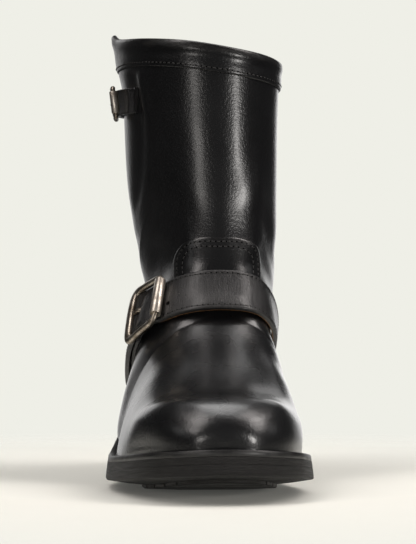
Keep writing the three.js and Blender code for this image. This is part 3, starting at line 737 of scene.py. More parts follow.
def buckle(name, strip, nodes, front, rear, lift, corners, radii, wire, roller, rear_wide, stand,
           roller_half, lean=0.0, loop=1.7, leather=None):
    """A roller buckle whose roller lies across the strap at u = front, with its rear bar near u = rear.

    Corners are (mm behind the roller's axis, mm across the strap). lean tips the roller's upper end out,
    loop is how high the prong goes over the rear bar, and leather names the node under that bar.
    """
    over = lambda u, extra, share=0.5: band_point(strip, u, share, lift(u) + extra)
    start, end = over(rear, wire + stand), over(front, roller + 0.8)
    across = unit(over(front, lean, 1) - over(front, 0, 0))
    along = end - start
    along = unit(along - across * (along @ across))
    out = unit(np.cross(along, across))
    turned = out @ form_normal(TOP_ROW / 2, front) < 0
    if turned:
        out = -out
    path = rounded_path([(-behind, b) for behind, b in corners], radii)
    length = max(behind for behind, _ in corners)
    flow = unit(np.roll(path, -1, axis=0) - np.roll(path, 1, axis=0))
    share = 1 + path[:, 0] / length
    thin = clamp01((share - 0.9) / 0.06)
    widths = mix(mix(rear_wide, wire, clamp01(share / 0.35)), wire * 0.85, thin)
    depths = mix(wire, wire * 0.85, thin)
    arch = -0.8 * clamp01(1 - share / 0.5) * (np.abs(path[:, 1]) / np.abs(path[:, 1]).max()) ** 2
    ring_path = [end + along * a + across * b + out * h for (a, b), h in zip(path, arch)]
    sides = [along * b - across * a for a, b in flow]
    points, faces = tube(ring_path, sides, [out] * len(path), widths, depths)
    mesh_object(name, points, faces, "aged_metal", [nodes[0]], 60)

    r, half = roller, roller_half
    profile = [(-half, r * 0.72), (-half, r * 0.93), (-half + 0.4, r)]
    profile += [(half - 0.4, r), (half, r * 0.93), (half, r * 0.72)]
    middles, widths = [end + across * b for b, _ in profile], [w for _, w in profile]
    points, faces = tube(middles, [along] * 6, [out] * 6, widths, widths, 40, closed=False)
    faces += end_faces(6, 40)
    mesh_object(name.replace("buckle", "roller"), points, faces, "roller_metal", [nodes[1]], 35)

    if leather:
        a, b = np.meshgrid(np.linspace(1.2, 12.5, 8) - length, np.linspace(-13, 15, 12), indexing="ij")
        sag = -0.6 - 1.6 * clamp01((a + length) / 12.5) ** 2
        points = end + a[..., None] * along + b[..., None] * across + sag[..., None] * out
        points, faces = points.reshape(-1, 3), grid_faces(8, 12)
        if turned:
            faces = [face[::-1] for face in faces]
        mesh_object("bar_leather", points, faces, "strap_leather", [leather], 60, uv=points[:, :2] * 10)

    shares = np.linspace(-0.02, 0.9, 26)
    prong_path = []
    for t in shares:
        height = mix(0.7 * wire + 0.25, -2.2, smooth((t - 0.2) / 0.2)) + loop * wire * bell(t, 0.0, 0.09)
        prong_path.append(over(mix(rear, front, max(t, 0.0)), height))
    prong_path = np.array(prong_path)
    flow = unit(np.gradient(prong_path, axis=0))
    side = unit(np.cross(flow, out))
    size = wire * 0.62 * np.where(shares > 0.75, 0.75, 1.0)
    points, faces = tube(prong_path, side, unit(np.cross(side, flow)), size * 1.1, size, closed=False)
    faces += end_faces(26, 14)
    mesh_object(name.replace("buckle", "prong"), points, faces, "aged_metal", [nodes[2]], 50)


# Soles. A height is that of a layer at the flat of the ball, or a function of s and x.
def high_at(height, s, x):
    return height(s, x) if callable(height) else layer(height, s, x)


def onto(p, height):
    """Points moved up or down onto a height."""
    s, x = HALF_LENGTH - p[..., 1], p[..., 0]
    return place(s, x, high_at(height, s, x))


def sole_rows(turns, edge):
    """Points of an edge profile on both sides of the sole. edge holds (inset, height)."""
    out = []
    for side in (-1, 1):
        line = []
        for inset, height in edge:
            s, x = outline_point(turns, side, inset)
            line.append(place(s, x, high_at(height, s, x)))
        out.append(np.stack(line, 1))
    return out


def plate(name, edge, node, turns, closed_end=False):
    """A rubber layer of the sole with a shaped edge, which runs from its lower to its upper corner."""
    left, right = sole_rows(turns, edge)
    fill, count = 9, len(edge)
    shares = np.linspace(0, 1, fill + 2)[1:-1]
    between = lambda k, order: np.stack([onto(mix(left[:, k], right[:, k], t), edge[k][1]) for t in order], 1)
    ring = np.concatenate([left[:, ::-1], between(0, shares), right, between(-1, shares[::-1])], axis=1)
    rows, cols = ring.shape[:2]
    faces = grid_faces(rows, cols, wrap_cols=True)
    if closed_end:
        faces.append(end_faces(rows, cols)[1])
    heights = np.array([high_at(height, HALF_LENGTH, 0.0) for _, height in edge], float)
    lane = np.concatenate([heights[::-1], np.full(fill, heights[0]), heights, np.full(fill, heights[-1])])
    shift = np.repeat([0, 0, 700, 0], [count, fill, count, fill])
    uv = flow_uv(run_along(left[:, 0])[:, None] + shift, lane)
    mesh_object(name, ring.reshape(-1, 3), faces, "black_rubber", [node], 38, uv=uv)


def feather(height, offset, v):
    """Where the form grown by offset meets a layer of the sole, on the outer and on the inner side."""
    lines = []
    for side in (1, -1):
        above = lambda u: over_sole(form_offset(v, side * u, offset), height) > 0
        u = halve(np.full(v.shape, 0.25), np.full(v.shape, 0.5), 26, above)
        lines.append(form_offset(v, side * u, offset))
    return lines


class Nodes:
    """Adds nodes to the tree of a new material or of the world."""

    def __init__(self, owner, coordinates="Object"):
        owner.use_nodes = True
        self.tree = owner.node_tree
        self.shader = self.tree.nodes.get("Principled BSDF")
        self.place = self.add("ShaderNodeTexCoord").outputs[coordinates]

    def add(self, kind, **settings):
        node = self.tree.nodes.new(kind)
        for key, value in settings.items():
            if hasattr(node, key):
                setattr(node, key, value)
            else:
                node.inputs[key.replace("_", " ")].default_value = value
        return node

    def link(self, a, b):
        self.tree.links.new(a, b)

    def set(self, **values):
        for key, value in values.items():
            self.shader.inputs[key.replace("_", " ")].default_value = value

    def scaled(self, source, scale):
        node = self.add("ShaderNodeMapping", Scale=scale)
        self.link(source, node.inputs["Vector"])
        return node.outputs[0]

    def noise(self, scale, detail=3.0, roughness=0.55, source=None, distortion=0.0):
        node = self.add("ShaderNodeTexNoise", Scale=scale, Detail=detail, Roughness=roughness,
                        Distortion=distortion)
        self.link(source or self.place, node.inputs["Vector"])
        return node.outputs["Fac"]

    def cells(self, scale, feature="F1"):
        node = self.add("ShaderNodeTexVoronoi", feature=feature, Scale=scale)
        self.link(self.place, node.inputs["Vector"])
        return node.outputs["Distance"]

    def spread(self, value, low, high, to_low=0.0, to_high=1.0, **settings):
        node = self.add("ShaderNodeMapRange", **settings)
        for k, number in enumerate((low, high, to_low, to_high)):
            node.inputs[k + 1].default_value = number
        self.link(value, node.inputs[0])
        return node.outputs[0]

    def math(self, operation, a, b):
        node = self.add("ShaderNodeMath", operation=operation)
        for k, value in enumerate((a, b)):
            if isinstance(value, (int, float)):
                node.inputs[k].default_value = value
            else:
                self.link(value, node.inputs[k])
        return node.outputs[0]

    def plus(self, a, b):
        return self.math("ADD", a, b)

    def times(self, a, b):
        return self.math("MULTIPLY", a, b)

    def blend(self, factor, a, b):
        node = self.add("ShaderNodeMix", data_type="RGBA")
        for socket, value in ((node.inputs[6], a), (node.inputs[7], b)):
            if isinstance(value, tuple):
                socket.default_value = (*value, 1.0)
            else:
                self.link(value, socket)
        self.link(factor, node.inputs[0])
        return node.outputs[2]

    def attribute(self, name):
        return self.add("ShaderNodeAttribute", attribute_name=name).outputs["Fac"]

    def bump(self, height, strength, distance, under=None):
        node = self.add("ShaderNodeBump", Strength=strength, Distance=distance)
        self.link(height, node.inputs["Height"])
        if under:
            self.link(under, node.inputs["Normal"])
        return node.outputs[0]

    def finish(self, colour=None, roughness=None, normal=None):
        for socket, value in (("Base Color", colour), ("Roughness", roughness), ("Normal", normal)):
            if value is not None:
                self.link(value, self.shader.inputs[socket])


def new_material(name):
    materials[name] = bpy.data.materials.new(name)
    return Nodes(materials[name])


WORN_LEATHER = (0.05, 0.045, 0.04)


def leather(name, colour, rough, grain, wave, coat):
    """Smooth black leather: soft unevenness, fine pores, and paler wear along its cut edges."""
    m = new_material(name)
    patches = m.noise(22.0, 3.0, 0.5)
    pores = m.cells(1300.0, "SMOOTH_F1")
    pebbles = m.noise(520.0, 3.0, 0.6)
    waves = m.noise(55.0, 2.0, 0.5)
    scuffs = m.noise(60.0, 6.0, 0.75, source=m.scaled(m.place, (1.0, 1.0, 3.0)))
    wear = m.times(m.spread(scuffs, 0.48, 0.62, 0.15, 1.0), m.attribute("edge"))
    tone = m.blend(m.spread(patches, 0.35, 0.65), colour, tuple(1.35 * c for c in colour))
    tone = m.blend(m.times(wear, 0.4), tone, WORN_LEATHER)
    roughness = m.plus(m.spread(patches, 0.3, 0.7, *rough), m.times(wear, 0.15))
    large = m.bump(waves, wave, 0.0006)
    m.finish(tone, roughness, m.bump(m.plus(m.times(pores, 0.5), pebbles), grain, 0.0003, large))
    m.set(IOR=1.5, Coat_Weight=coat, Coat_Roughness=0.2, Coat_IOR=1.45)


leather("black_leather", (0.0042, 0.0042, 0.0047), rough=(0.27, 0.34), grain=0.5, wave=0.22, coat=0.3)
leather("vamp_leather", (0.0042, 0.0043, 0.0048), rough=(0.24, 0.31), grain=0.4, wave=0.15, coat=0.4)

m = new_material("strap_leather")
flow = m.add("ShaderNodeUVMap", uv_map="flow").outputs[0]
creases = m.noise(7.0, 6.0, 0.7, source=m.scaled(flow, (14.0, 1.6, 1.0)), distortion=0.6)
grains = m.noise(900.0, 3.0, 0.6)
patches = m.noise(40.0, 4.0, 0.6)
raw = m.attribute("raw")
fibre = m.noise(500.0, 5.0, 0.8, source=m.scaled(m.place, (1.0, 1.0, 4.0)))
black = m.blend(m.spread(creases, 0.4, 0.72), (0.0045, 0.0045, 0.005), (0.016, 0.015, 0.015))
tan = m.blend(m.spread(fibre, 0.35, 0.7), (0.1, 0.045, 0.015), (0.24, 0.12, 0.04))
rough = m.plus(m.spread(creases, 0.35, 0.7, 0.27, 0.5), m.spread(patches, 0.35, 0.7, -0.04, 0.06))
rough = m.plus(rough, m.times(raw, 0.35))
normal = m.bump(creases, 0.9, 0.0005, m.bump(m.noise(70.0, 2.0), 0.3, 0.0006))
m.finish(m.blend(raw, black, tan), rough, m.bump(grains, 0.25, 0.00015, normal))
m.set(IOR=1.5, Coat_Weight=0.3, Coat_Roughness=0.2)

m = new_material("welt_leather")
patches = m.noise(120.0, 4.0, 0.6)
m.finish(
    m.blend(m.spread(patches, 0.35, 0.7), (0.004, 0.004, 0.0045), (0.018, 0.017, 0.016)),
    m.spread(patches, 0.3, 0.7, 0.35, 0.6),
    m.bump(m.noise(700.0, 4.0, 0.7), 0.5, 0.0002),
)
m.set(Coat_Weight=0.15, Coat_Roughness=0.3)

m = new_material("thread")
twist = m.noise(1800.0, 2.0, 0.5)
m.finish(m.blend(twist, (0.012, 0.012, 0.013), (0.04, 0.038, 0.036)), None, m.bump(twist, 0.5, 0.0002))
m.set(Roughness=0.6)

# Painted shade: a near-black colour with no reflection, which stands in for the shade inside stitch and
# punched holes.
m = new_material("stitch_hole")
m.finish(m.blend(m.noise(900.0), (0.0015, 0.0015, 0.0015), (0.004, 0.004, 0.004)))
m.set(Roughness=0.95, Specular_IOR_Level=0.0)

for name in ("black_rubber", "tread_rubber"):
    m = new_material(name)
    flow = m.add("ShaderNodeUVMap", uv_map="flow").outputs[0]
    fine = m.noise(9.0, 5.0, 0.7, source=m.scaled(flow, (2.2, 70.0, 1.0)))
    broad = m.noise(5.0, 3.0, 0.6, source=m.scaled(flow, (0.8, 22.0, 1.0)))
    dust = m.noise(160.0, 5.0, 0.7)
    tone = m.blend(m.spread(fine, 0.4, 0.68), (0.003, 0.003, 0.0031), (0.022, 0.02, 0.019))
    tone = m.blend(m.spread(dust, 0.62, 0.78, 0.0, 0.25), tone, (0.035, 0.031, 0.028))
    normal = m.bump(m.noise(1400.0, 3.0), 0.3, 0.0001)
    if name == "black_rubber":  # the edges of the sole are streaked
        normal = m.bump(m.plus(fine, broad), 1.0, 0.0008, normal)
    m.finish(tone, m.spread(broad, 0.3, 0.7, 0.42, 0.68), normal)
    m.set(IOR=1.5, Specular_IOR_Level=0.36)

for name, low, high in (("lining", (0.17, 0.125, 0.085), (0.26, 0.195, 0.135)),
                        ("insole", (0.2, 0.115, 0.06), (0.33, 0.21, 0.12))):
    m = new_material(name)
    m.finish(
        m.blend(m.spread(m.noise(35.0, 5.0, 0.7), 0.3, 0.7), low, high),
        m.spread(m.noise(90.0, 4.0), 0.3, 0.7, 0.5, 0.8),
        m.bump(m.noise(800.0, 4.0, 0.7), 0.4, 0.0002, m.bump(m.noise(60.0), 0.4, 0.0006)),
    )

for name, low, high, rough in (("aged_metal", (0.17, 0.135, 0.1), (0.52, 0.47, 0.4), 0.26),
                               ("roller_metal", (0.5, 0.44, 0.37), (0.8, 0.74, 0.66), 0.3)):
    m = new_material(name)
    tarnish = m.noise(170.0, 6.0, 0.7)
    scratch = m.noise(240.0, 5.0, 0.75, source=m.scaled(m.place, (1.0, 1.0, 6.0)))
    m.finish(
        m.blend(m.spread(tarnish, 0.36, 0.62), low, high),
        m.plus(m.spread(tarnish, 0.3, 0.7, rough + 0.14, rough), m.spread(scratch, 0.45, 0.7, 0.0, 0.1)),
        m.bump(m.plus(m.times(m.cells(700.0), 0.5), scratch), 0.3, 0.00015),
    )
    m.set(Metallic=1.0)


# Upper.
cover = OVERLAY_STEP
shaft_grid = form_grid((10.5, TOP_ROW), (-0.5, 0.5), 1.25)
vamp_grid = form_grid((0.0, 17.0), (-0.5, 0.5), 1.2)
counter_grid = form_grid((8.0, 21.0), (0.2, 0.8), 1.3)
strip_grid = form_grid((16.5, TOP_ROW), (0.42, 0.58), 1.1)
shaft_on, vamp_on, counter_on, strip_on = (
    form_point(*grid) for grid in (shaft_grid, vamp_grid, counter_grid, strip_grid))
strip_v = strip_grid[0]

sheet("shaft", shaft_grid, shaft_region(shaft_on), 0.0, "black_leather", 0, shaft_shape)
sheet("vamp", vamp_grid, vamp_region(vamp_on), cover, "vamp_leather", 2.2, vamp_shape)
sheet("counter", counter_grid, counter_region(counter_on), cover + 0.05, "black_leather", 2.2)
sheet("back_strip", strip_grid, strip_region(strip_on, strip_v), cover - 0.1, "black_leather", 2.0)

over_welt = lambda p: over_sole(p) > 5
beside_strip = lambda p: (counter_line(p) < -1) & (collar_drop(p) > CUFF_HEIGHT + 1)
sew_inside(vamp_grid, vamp_line(vamp_on), (2.3, 5.2), cover, over_welt, vamp_shape)
sew_inside(counter_grid, counter_line(counter_on), (2.3, 4.8), cover + 0.05, over_welt)
sew_inside(strip_grid, strip_line(strip_on, strip_v), (1.9,), cover - 0.1, beside_strip)

# Cuff: the collar's leather folded over, with its flared corner at the outer rear.
cuff_u = np.linspace(-0.5, 0.5, 421)[:-1]
rim_half = (cover + WALL) / 2
flare = bell(cuff_u, CORNER, 0.045)
peak = 4.2 * bell(cuff_u, CORNER, 0.075) + 3.6 * bell(cuff_u, CORNER, 0.03)
wavy = 0.5 * np.sin(2 * np.pi * cuff_u * 3 + 0.8) + 0.3 * np.sin(2 * np.pi * cuff_u * 7)


def cuff_ring(drop, offset):
    """A ring of the cuff, drop under the plane of the collar."""
    ring = form_offset(collar_row(drop, cuff_u), cuff_u, offset)
    away = flare * mix(2.6, 0.4, clamp01(drop / CUFF_HEIGHT) ** 0.8)
    ring[:, 0] -= away
    ring[:, 1] += 0.6 * away
    return ring


share = np.linspace(0, 1, 16)
roll = 0.35 * bell(share, 0.82, 0.12) - 0.25 * bell(share, 0.55, 0.2)
drops = [CUFF_HEIGHT, CUFF_HEIGHT - 0.05, *np.linspace(CUFF_HEIGHT - 0.5, rim_half, 16)]
rows = [(drop, offset, 0.0) for drop, offset in zip(drops, [0.1, cover - 0.35, *(cover + roll)])]
rows += [(rim_half, cover - rim_half + rim_half * math.cos(angle), rim_half * math.sin(angle))
         for angle in np.linspace(0, math.pi, 9)[1:-1]]
rows += [(drop, -WALL, 0.0) for drop in np.linspace(rim_half, CUFF_HEIGHT + 2, 8)]
rings = []
for drop, offset, rise in rows:
    ring = cuff_ring(drop, offset)
    high = 1 - clamp01(drop / CUFF_HEIGHT)
    ring[:, 2] += rise + high * peak + 0.35 * wavy * high
    rings.append(ring)
wear = np.repeat([bell(r[0], rim_half, 2.5) * 0.9 if r[1] > -WALL else 0.0 for r in rows], len(cuff_u))
mesh_object("cuff", np.array(rings).reshape(-1, 3), grid_faces(len(rows), len(cuff_u), wrap_cols=True),
            "black_leather", UPPER, 60, [("edge", wear)])
on, above = (cuff_ring(CUFF_HEIGHT - 2.2, cover + rise) for rise in (0.02, 1.02))
sew(on, unit(above - on))

# Lining and insole.
lining_grid = form_grid((1.0, TOP_ROW - 0.6), (-0.5, 0.5), 3.0)
v, u, _, faces, _ = clip_grid(*lining_grid, over_sole(form_point(*lining_grid)))
mesh_object("lining", form_offset(v, u, -WALL - 0.05), [f[::-1] for f in faces], "lining", UPPER)

insole_top = UPPER_FOOT + INSOLE_THICKNESS
rows = np.concatenate([np.linspace(0.75, 3, 14), np.linspace(3.3, 13, 34), np.linspace(13.3, 17.2, 18)])
outer, inner = feather(insole_top, -WALL - 0.4, rows)
top = []
for share in np.linspace(0, 1, 19):
    dish = 0.5 - 1.1 * math.sin(math.pi * share)
    top.append(onto(mix(outer, inner, share), lambda s, x: layer(insole_top, s, x) + dish))
top = np.stack(top, 1)
low = top[:, [0, -1]] - np.array([0, 0, 2.5])
grid = np.concatenate([low[:, :1], top, low[:, 1:]], axis=1)
mesh_object("insole_board", grid.reshape(-1, 3), grid_faces(*grid.shape[:2]), "insole", ["insole"])

# Straps and buckles.
ON_FORM = OVERLAY_STEP + STRAP_REST
TOP_SLIT = 0.195


def instep_lift(u):
    """The instep strap passes over its short strap, with a bulge inside the buckle."""
    return ON_FORM + (CHAPE_THICKNESS + GAP) * smooth((u - 0.1) / 0.08) + 2.4 * bell(u, 0.155, 0.022)


def top_lift(u):
    """The top strap comes out of a slit in the shaft and then passes over the short strap."""
    over_chape = (CHAPE_THICKNESS + GAP) * smooth((u - 0.2) / 0.08)
    return STRAP_REST + over_chape - 2.6 * (1 - smooth((u - TOP_SLIT) / 0.012))


strap("instep_strap_leather", instep_band, (-0.46, 0.325), STRAP_THICKNESS, instep_lift, "instep_strap",
      420, tip=0.4, raw_until=0.13)
strap("instep_chape_leather", instep_band, (0.205, 0.46), CHAPE_THICKNESS, lambda u: ON_FORM + 0 * u,
      "instep_chape", 140, trim=0.06)
sewn = np.linspace(-0.455, 0.3, 420)
sewn_height = instep_lift(sewn) + STRAP_THICKNESS + 0.1
for share in (2.2 / STRAP_WIDTH, 1 - 2.2 / STRAP_WIDTH):
    on, above = (band_point(instep_band, sewn, share, sewn_height + rise) for rise in (0, 1))
    sew(on, unit(above - on))
strap("top_strap_leather", top_band, (TOP_SLIT - 0.006, 0.42), TOP_STRAP_THICKNESS, top_lift, "top_strap",
      200, tip=0.35, crown=-0.5)
strap("top_chape_leather", top_band, (0.3, 0.43), CHAPE_THICKNESS - 0.4, lambda u: STRAP_REST + 0 * u,
      "top_chape", 80, trim=0.08)


def punch(strip, u, share, height, radius):
    """A punched hole: a dark disc of painted shade just over the leather."""
    centre = band_point(strip, u, share, height)
    side = unit(band_point(strip, u + 0.004, share, height) - centre)
    up = unit(band_point(strip, u, share + 0.05, height) - centre)
    collect("hole", centre + radius * circle(16, side, up), [list(range(16))])


for u in (0.104, 0.24, 0.285):
    punch(instep_band, u, 0.36, instep_lift(u) + STRAP_THICKNESS + 0.4, 1.3)
for u in (0.3, 0.35):
    punch(top_band, u, 0.5, top_lift(u) + TOP_STRAP_THICKNESS + 0.42, 0.9)

buckle(
    "instep_buckle_frame", instep_band, ("instep_buckle", "instep_roller", "instep_prong"),
    front=0.118, rear=0.187, lift=lambda u: instep_lift(u) + STRAP_THICKNESS,
    corners=[(27, -18), (27, 18), (0, 14.0), (0, -16.5)], radii=[6.0, 7.0, 1.7, 5.5],
    wire=2.0, roller=3.2, rear_wide=3.0, stand=2.4, roller_half=12.3, leather="instep_chape",
)
buckle(
    "top_buckle_frame", top_band, ("top_buckle", "top_roller", "top_prong"),
    front=0.236, rear=0.29, lift=lambda u: top_lift(u) + TOP_STRAP_THICKNESS,
    corners=[(17, -8.8), (17, 8.8), (0, 8.4), (0, -8.4)], radii=[3.0, 3.0, 1.5, 1.5],
    wire=1.5, roller=2.5, rear_wide=1.6, stand=-0.4, roller_half=6.5, lean=1.0, loop=0.2,
)

# Sole.
whole = np.linspace(0, math.pi, 361)
heel_turns = np.linspace(0, float(turn_at(HEEL_BREAST)), 120)
flat_at = lambda height: lambda s, x: height + 0 * s


def heel_low(extra):
    """The lower face of the lifts, raised by extra."""
    return lambda s, x: np.minimum(TOP_LIFT_THICKNESS + GAP, layer(TREAD_DEPTH - GAP, s, x) - 1) + extra


plate(
    "outsole_body",
    [(1.1, TREAD_DEPTH), (0.35, TREAD_DEPTH + 0.15), (0.05, TREAD_DEPTH + 0.7), (0.15, TREAD_DEPTH + 2.0),
     (0.4, OUTSOLE_TOP - 1.6), (0.6, OUTSOLE_TOP - 0.2), (0.75, OUTSOLE_TOP)],
    "outsole", whole,
)
plate(
    "midsole_body",
    [(0.8, OUTSOLE_TOP + 0.05), (0.65, OUTSOLE_TOP + 0.2), (0.85, BALL_TOP - 1.8), (1.1, BALL_TOP - 0.2),
     (1.25, BALL_TOP)],
    "midsole", whole,
)
plate(
    "heel_lifts",
    [(HEEL_TAPER + 0.3, heel_low(0)), (HEEL_TAPER, heel_low(0.3))]
    + [(mix(HEEL_TAPER, 0.5, t), lambda s, x, t=t: mix(heel_low(0.3)(s, x), layer(1.4, s, x), t))
       for t in (0.25, 0.5, 0.75, 1)]
    + [(0.8, TREAD_DEPTH - 0.1)],
    "heel_base", heel_turns, True,
)
plate(
    "top_lift_rubber",
    [(HEEL_TAPER + 1.4, flat_at(0.0)), (HEEL_TAPER + 0.7, flat_at(0.5)), (HEEL_TAPER + 0.2, flat_at(4.0)),
     (HEEL_TAPER, flat_at(TOP_LIFT_THICKNESS - 0.2)), (HEEL_TAPER + 0.3, flat_at(TOP_LIFT_THICKNESS + 0.1))],
    "top_lift", heel_turns, True,
)

# Tread blocks between the grooves.
tread_start = HEEL_BREAST + 1.4 * TREAD_INSET
cuts = [tread_start, *np.arange(tread_start + GROOVE_PITCH, OUTSOLE_LENGTH - TREAD_INSET, GROOVE_PITCH)]
edge = [(TREAD_INSET + 0.8, 0.0), (TREAD_INSET, 0.5), (TREAD_INSET, TREAD_DEPTH + 1)]
tread_points, tread_faces = [], []
for k, start in enumerate(cuts):
    low = start if k == 0 else start + GROOVE_WIDTH / 2
    high = cuts[k + 1] - GROOVE_WIDTH / 2 if k + 1 < len(cuts) else OUTSOLE_LENGTH
    left, right = sole_rows(np.linspace(float(turn_at(low)), float(turn_at(high)), 24), edge)
    across = [onto(mix(left[:, 0], right[:, 0], t), 0.0) for t in (0.25, 0.5, 0.75)]
    ring = np.concatenate([left[:, ::-1], np.stack(across, 1), right], axis=1)
    first = sum(len(p) for p in tread_points)
    tread_points.append(ring.reshape(-1, 3))
    tread_faces += grid_faces(*ring.shape[:2], start=first) + end_faces(*ring.shape[:2], first)
mesh_object("tread", np.concatenate(tread_points), tread_faces, "tread_rubber", ["outsole"], 30)

# Welt: its edge, a stitched groove on top, and its inner edge against the upper.
welt_top = UPPER_FOOT + WELT_THICKNESS
groove_low = welt_top - 0.45
rows = np.concatenate([np.linspace(0.3, 2, 70), np.linspace(2.02, 13, 260)])
outer, inner = (line[np.abs(over_sole(line, welt_top)) < 0.3]
                for line in feather(welt_top, OVERLAY_STEP - 0.9, rows))
foot_line = np.concatenate([outer[::-1], inner])
edge = [
    (1.35, BALL_TOP + 0.1), (1.2, BALL_TOP + 0.35), (1.5, welt_top - 0.9), (2.0, welt_top - 0.2),
    (2.8, welt_top), (4.0, welt_top), (4.45, groove_low), (5.15, groove_low), (5.6, welt_top),
    (6.4, welt_top),
]
both = []
for side in sole_rows(np.linspace(float(turn_at(WELT_END)), math.pi, 260), edge):
    end = side[:, -1]
    gaps = np.linalg.norm(end[:, None, :2] - foot_line[None, :, :2], axis=-1)
    meet = np.pad(foot_line[np.argmin(gaps, axis=1)], ((3, 3), (0, 0)), mode="edge")
    meet = np.stack([np.convolve(line, np.ones(7) / 7, "valid") for line in meet.T], 1)
    inner = [onto(mix(end, meet, t), welt_top) for t in (0.5, 1.0)]
    inner.append(inner[-1] - np.array([0, 0, WELT_THICKNESS]))
    both.append(np.concatenate([side, np.stack(inner, 1)], axis=1))
ring = np.concatenate([both[0], both[1][::-1][1:]], axis=0)
count, cols = ring.shape[:2]
faces = grid_faces(count, cols, wrap_cols=True) + end_faces(count, cols)
uv = flow_uv(run_along(ring[:, 0])[:, None], np.arange(cols) * 1.5)
mesh_object("welt_strip", ring.reshape(-1, 3), faces, "welt_leather", ["welt"], 40, uv=uv)
groove = (ring[:, 6] + ring[:, 7]) / 2
sew(groove, np.tile([0.0, 0.0, 1.0], (count, 1)), 3.6, 0.62, 0.0)

# Stitch threads, and the discs of painted shade in the holes.
for kind, material in (("thread", "thread"), ("hole", "stitch_hole")):
    points, faces, _ = stitch_parts[kind]
    mesh_object("stitch_" + kind, np.concatenate(points), faces, material, (), 60)

# Floor, lights and camera.
PALE = (0.8631, 0.8631, 0.7991)
FLOOR_RADII = [0.0, 0.15, 0.3, 0.5, 0.8, 1.2, 1.8]
floor_mesh = bpy.data.meshes.new("floor")
around = np.arange(96) * 2 * math.pi / 96
floor_points = [(r * math.cos(a), r * math.sin(a), 0.0) for r in FLOOR_RADII for a in around]
floor_mesh.from_pydata(floor_points, [], grid_faces(len(FLOOR_RADII), 96, wrap_cols=True))
floor = bpy.data.objects.new("floor", floor_mesh)
bpy.context.scene.collection.objects.link(floor)
m = new_material("floor")
away = m.add("ShaderNodeVectorMath", operation="LENGTH")
m.link(m.place, away.inputs[0])
fade = m.spread(away.outputs["Value"], 0.14, 0.42)
clear = m.add("ShaderNodeBsdfTransparent")
joined = m.add("ShaderNodeMixShader")
m.set(Base_Color=(0.95, 0.95, 0.88, 1.0), Roughness=0.9, Specular_IOR_Level=0.1,
      Emission_Color=(1.0, 1.0, 0.93, 1.0), Emission_Strength=0.05)
for k, socket in enumerate((fade, m.shader.outputs[0], clear.outputs[0])):
    m.link(socket, joined.inputs[k])
m.link(joined.outputs[0], m.tree.nodes["Material Output"].inputs["Surface"])
floor_mesh.materials.append(materials["floor"])

world = bpy.data.worlds.new("studio")
bpy.context.scene.world = world
w = Nodes(world, "Generated")
pale = w.tree.nodes["Background"]
pale.inputs["Color"].default_value = (*PALE, 1)


def towards(azimuth, elevation):
    """A direction, with the azimuth from the boot's front towards the photograph's right."""
    a, e = math.radians(azimuth), math.radians(elevation)
    return (math.cos(e) * math.sin(a), -math.cos(e) * math.cos(a), math.sin(e))


# Soft boxes of the studio: azimuth, elevation, full and faded radius in degrees, and strength.
WARM_BOXES = [
    (-55, 37, 4, 12, 4.4), (-60, 50, 4, 13, 3.4), (-67, 61, 4, 11, 4.8), (-86, 69, 4, 10, 5.2),
    (-116, 73, 4, 9, 3.6), (71, 37, 4, 12, 4.2), (79, 47, 4, 12, 6.4), (95, 57, 4, 11, 8.4),
    (116, 67, 4, 10, 4.6),
]
PALE_BOXES = [
    (178, 63, 6, 14, 4.0), (-148, 73, 3, 9, 1.8), (144, 71, 3, 9, 1.8), (-76, 24, 4, 12, 0.8),
    (92, 24, 4, 12, 0.7), (-160, 15, 5, 12, 1.1), (-171, 6, 8, 14, 1.0), (168, 4, 6, 16, 1.8),
    (162, 30, 4, 11, 1.0), (2, 12, 6, 60, 0.12),
]


def soft_boxes(boxes, colour, strength):
    """A background whose strength is that of the brightest box in each direction."""
    for azimuth, elevation, full, faded, power in boxes:
        dot = w.add("ShaderNodeVectorMath", operation="DOT_PRODUCT")
        w.link(w.place, dot.inputs[0])
        dot.inputs[1].default_value = towards(azimuth, elevation)
        edges = math.cos(math.radians(faded)), math.cos(math.radians(full))
        glow = w.spread(dot.outputs["Value"], *edges, 0.0, power, interpolation_type="SMOOTHSTEP")
        strength = w.math("MAXIMUM", glow, strength)
    shader = w.add("ShaderNodeBackground", Color=(*colour, 1))
    w.link(strength, shader.inputs["Strength"])
    return shader.outputs[0]


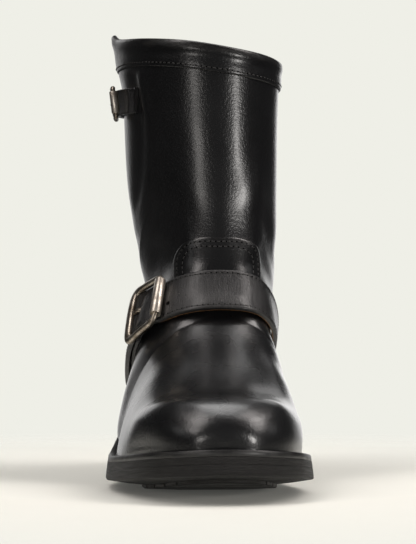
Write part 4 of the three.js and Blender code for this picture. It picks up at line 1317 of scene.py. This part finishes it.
# The camera sees a pale background, and the boot the boxes.
studio = w.add("ShaderNodeAddShader")
w.link(soft_boxes(WARM_BOXES, (1.04, 0.98, 0.95), 0.0), studio.inputs[0])
w.link(soft_boxes(PALE_BOXES, (1.0, 0.99, 0.98), 0.04), studio.inputs[1])
choose = w.add("ShaderNodeMixShader")
camera_ray = w.add("ShaderNodeLightPath").outputs["Is Camera Ray"]
for k, socket in enumerate((camera_ray, studio.outputs[0], pale.outputs[0])):
    w.link(socket, choose.inputs[k])
w.link(choose.outputs[0], w.tree.nodes["World Output"].inputs["Surface"])

CAMERA_YAW, CAMERA_PITCH = 3, 0.44
FOCAL_PIXELS, FRAME_PIXELS, SENSOR = 2730, 416, 36
BOOT_MIDDLE = Vector((0, 0.03, 0.17))
LIGHT_DISTANCE = 1.5


def strip_light(name, degrees, height, size, power, colour):
    """An area light, at an angle from the camera's side that is positive to the photograph's right."""
    light = bpy.data.lights.new(name, "AREA")
    light.shape = "RECTANGLE"
    light.size, light.size_y = size
    light.energy, light.color = power, colour
    lamp = bpy.data.objects.new(name, light)
    bpy.context.scene.collection.objects.link(lamp)
    angle = math.radians(degrees - CAMERA_YAW)
    lamp.location = (LIGHT_DISTANCE * math.sin(angle), -LIGHT_DISTANCE * math.cos(angle), height)
    lamp.rotation_euler = (BOOT_MIDDLE - lamp.location).to_track_quat("-Z", "Y").to_euler()


strip_light("left_strip", -25, 0.29, (0.36, 0.2), 2.1, (1.0, 0.96, 0.92))
strip_light("right_strip", 43, 0.28, (0.16, 0.24), 6.0, (1.0, 0.97, 0.94))

camera_data = bpy.data.cameras.new("camera")
camera_data.sensor_fit = "HORIZONTAL"
camera_data.sensor_width = SENSOR
camera_data.lens = FOCAL_PIXELS / FRAME_PIXELS * SENSOR
camera_data.clip_start, camera_data.clip_end = 0.1, 20
camera = bpy.data.objects.new("camera", camera_data)
bpy.context.scene.collection.objects.link(camera)
camera.location = (-0.0785, -1.5459, 0.131)
yaw, pitch = math.radians(CAMERA_YAW), math.radians(CAMERA_PITCH)
look = Vector((math.sin(yaw) * math.cos(pitch), math.cos(yaw) * math.cos(pitch), -math.sin(pitch)))
camera.rotation_euler = look.to_track_quat("-Z", "Y").to_euler()
bpy.context.scene.camera = camera
bpy.context.scene.view_settings.view_transform = "Standard"
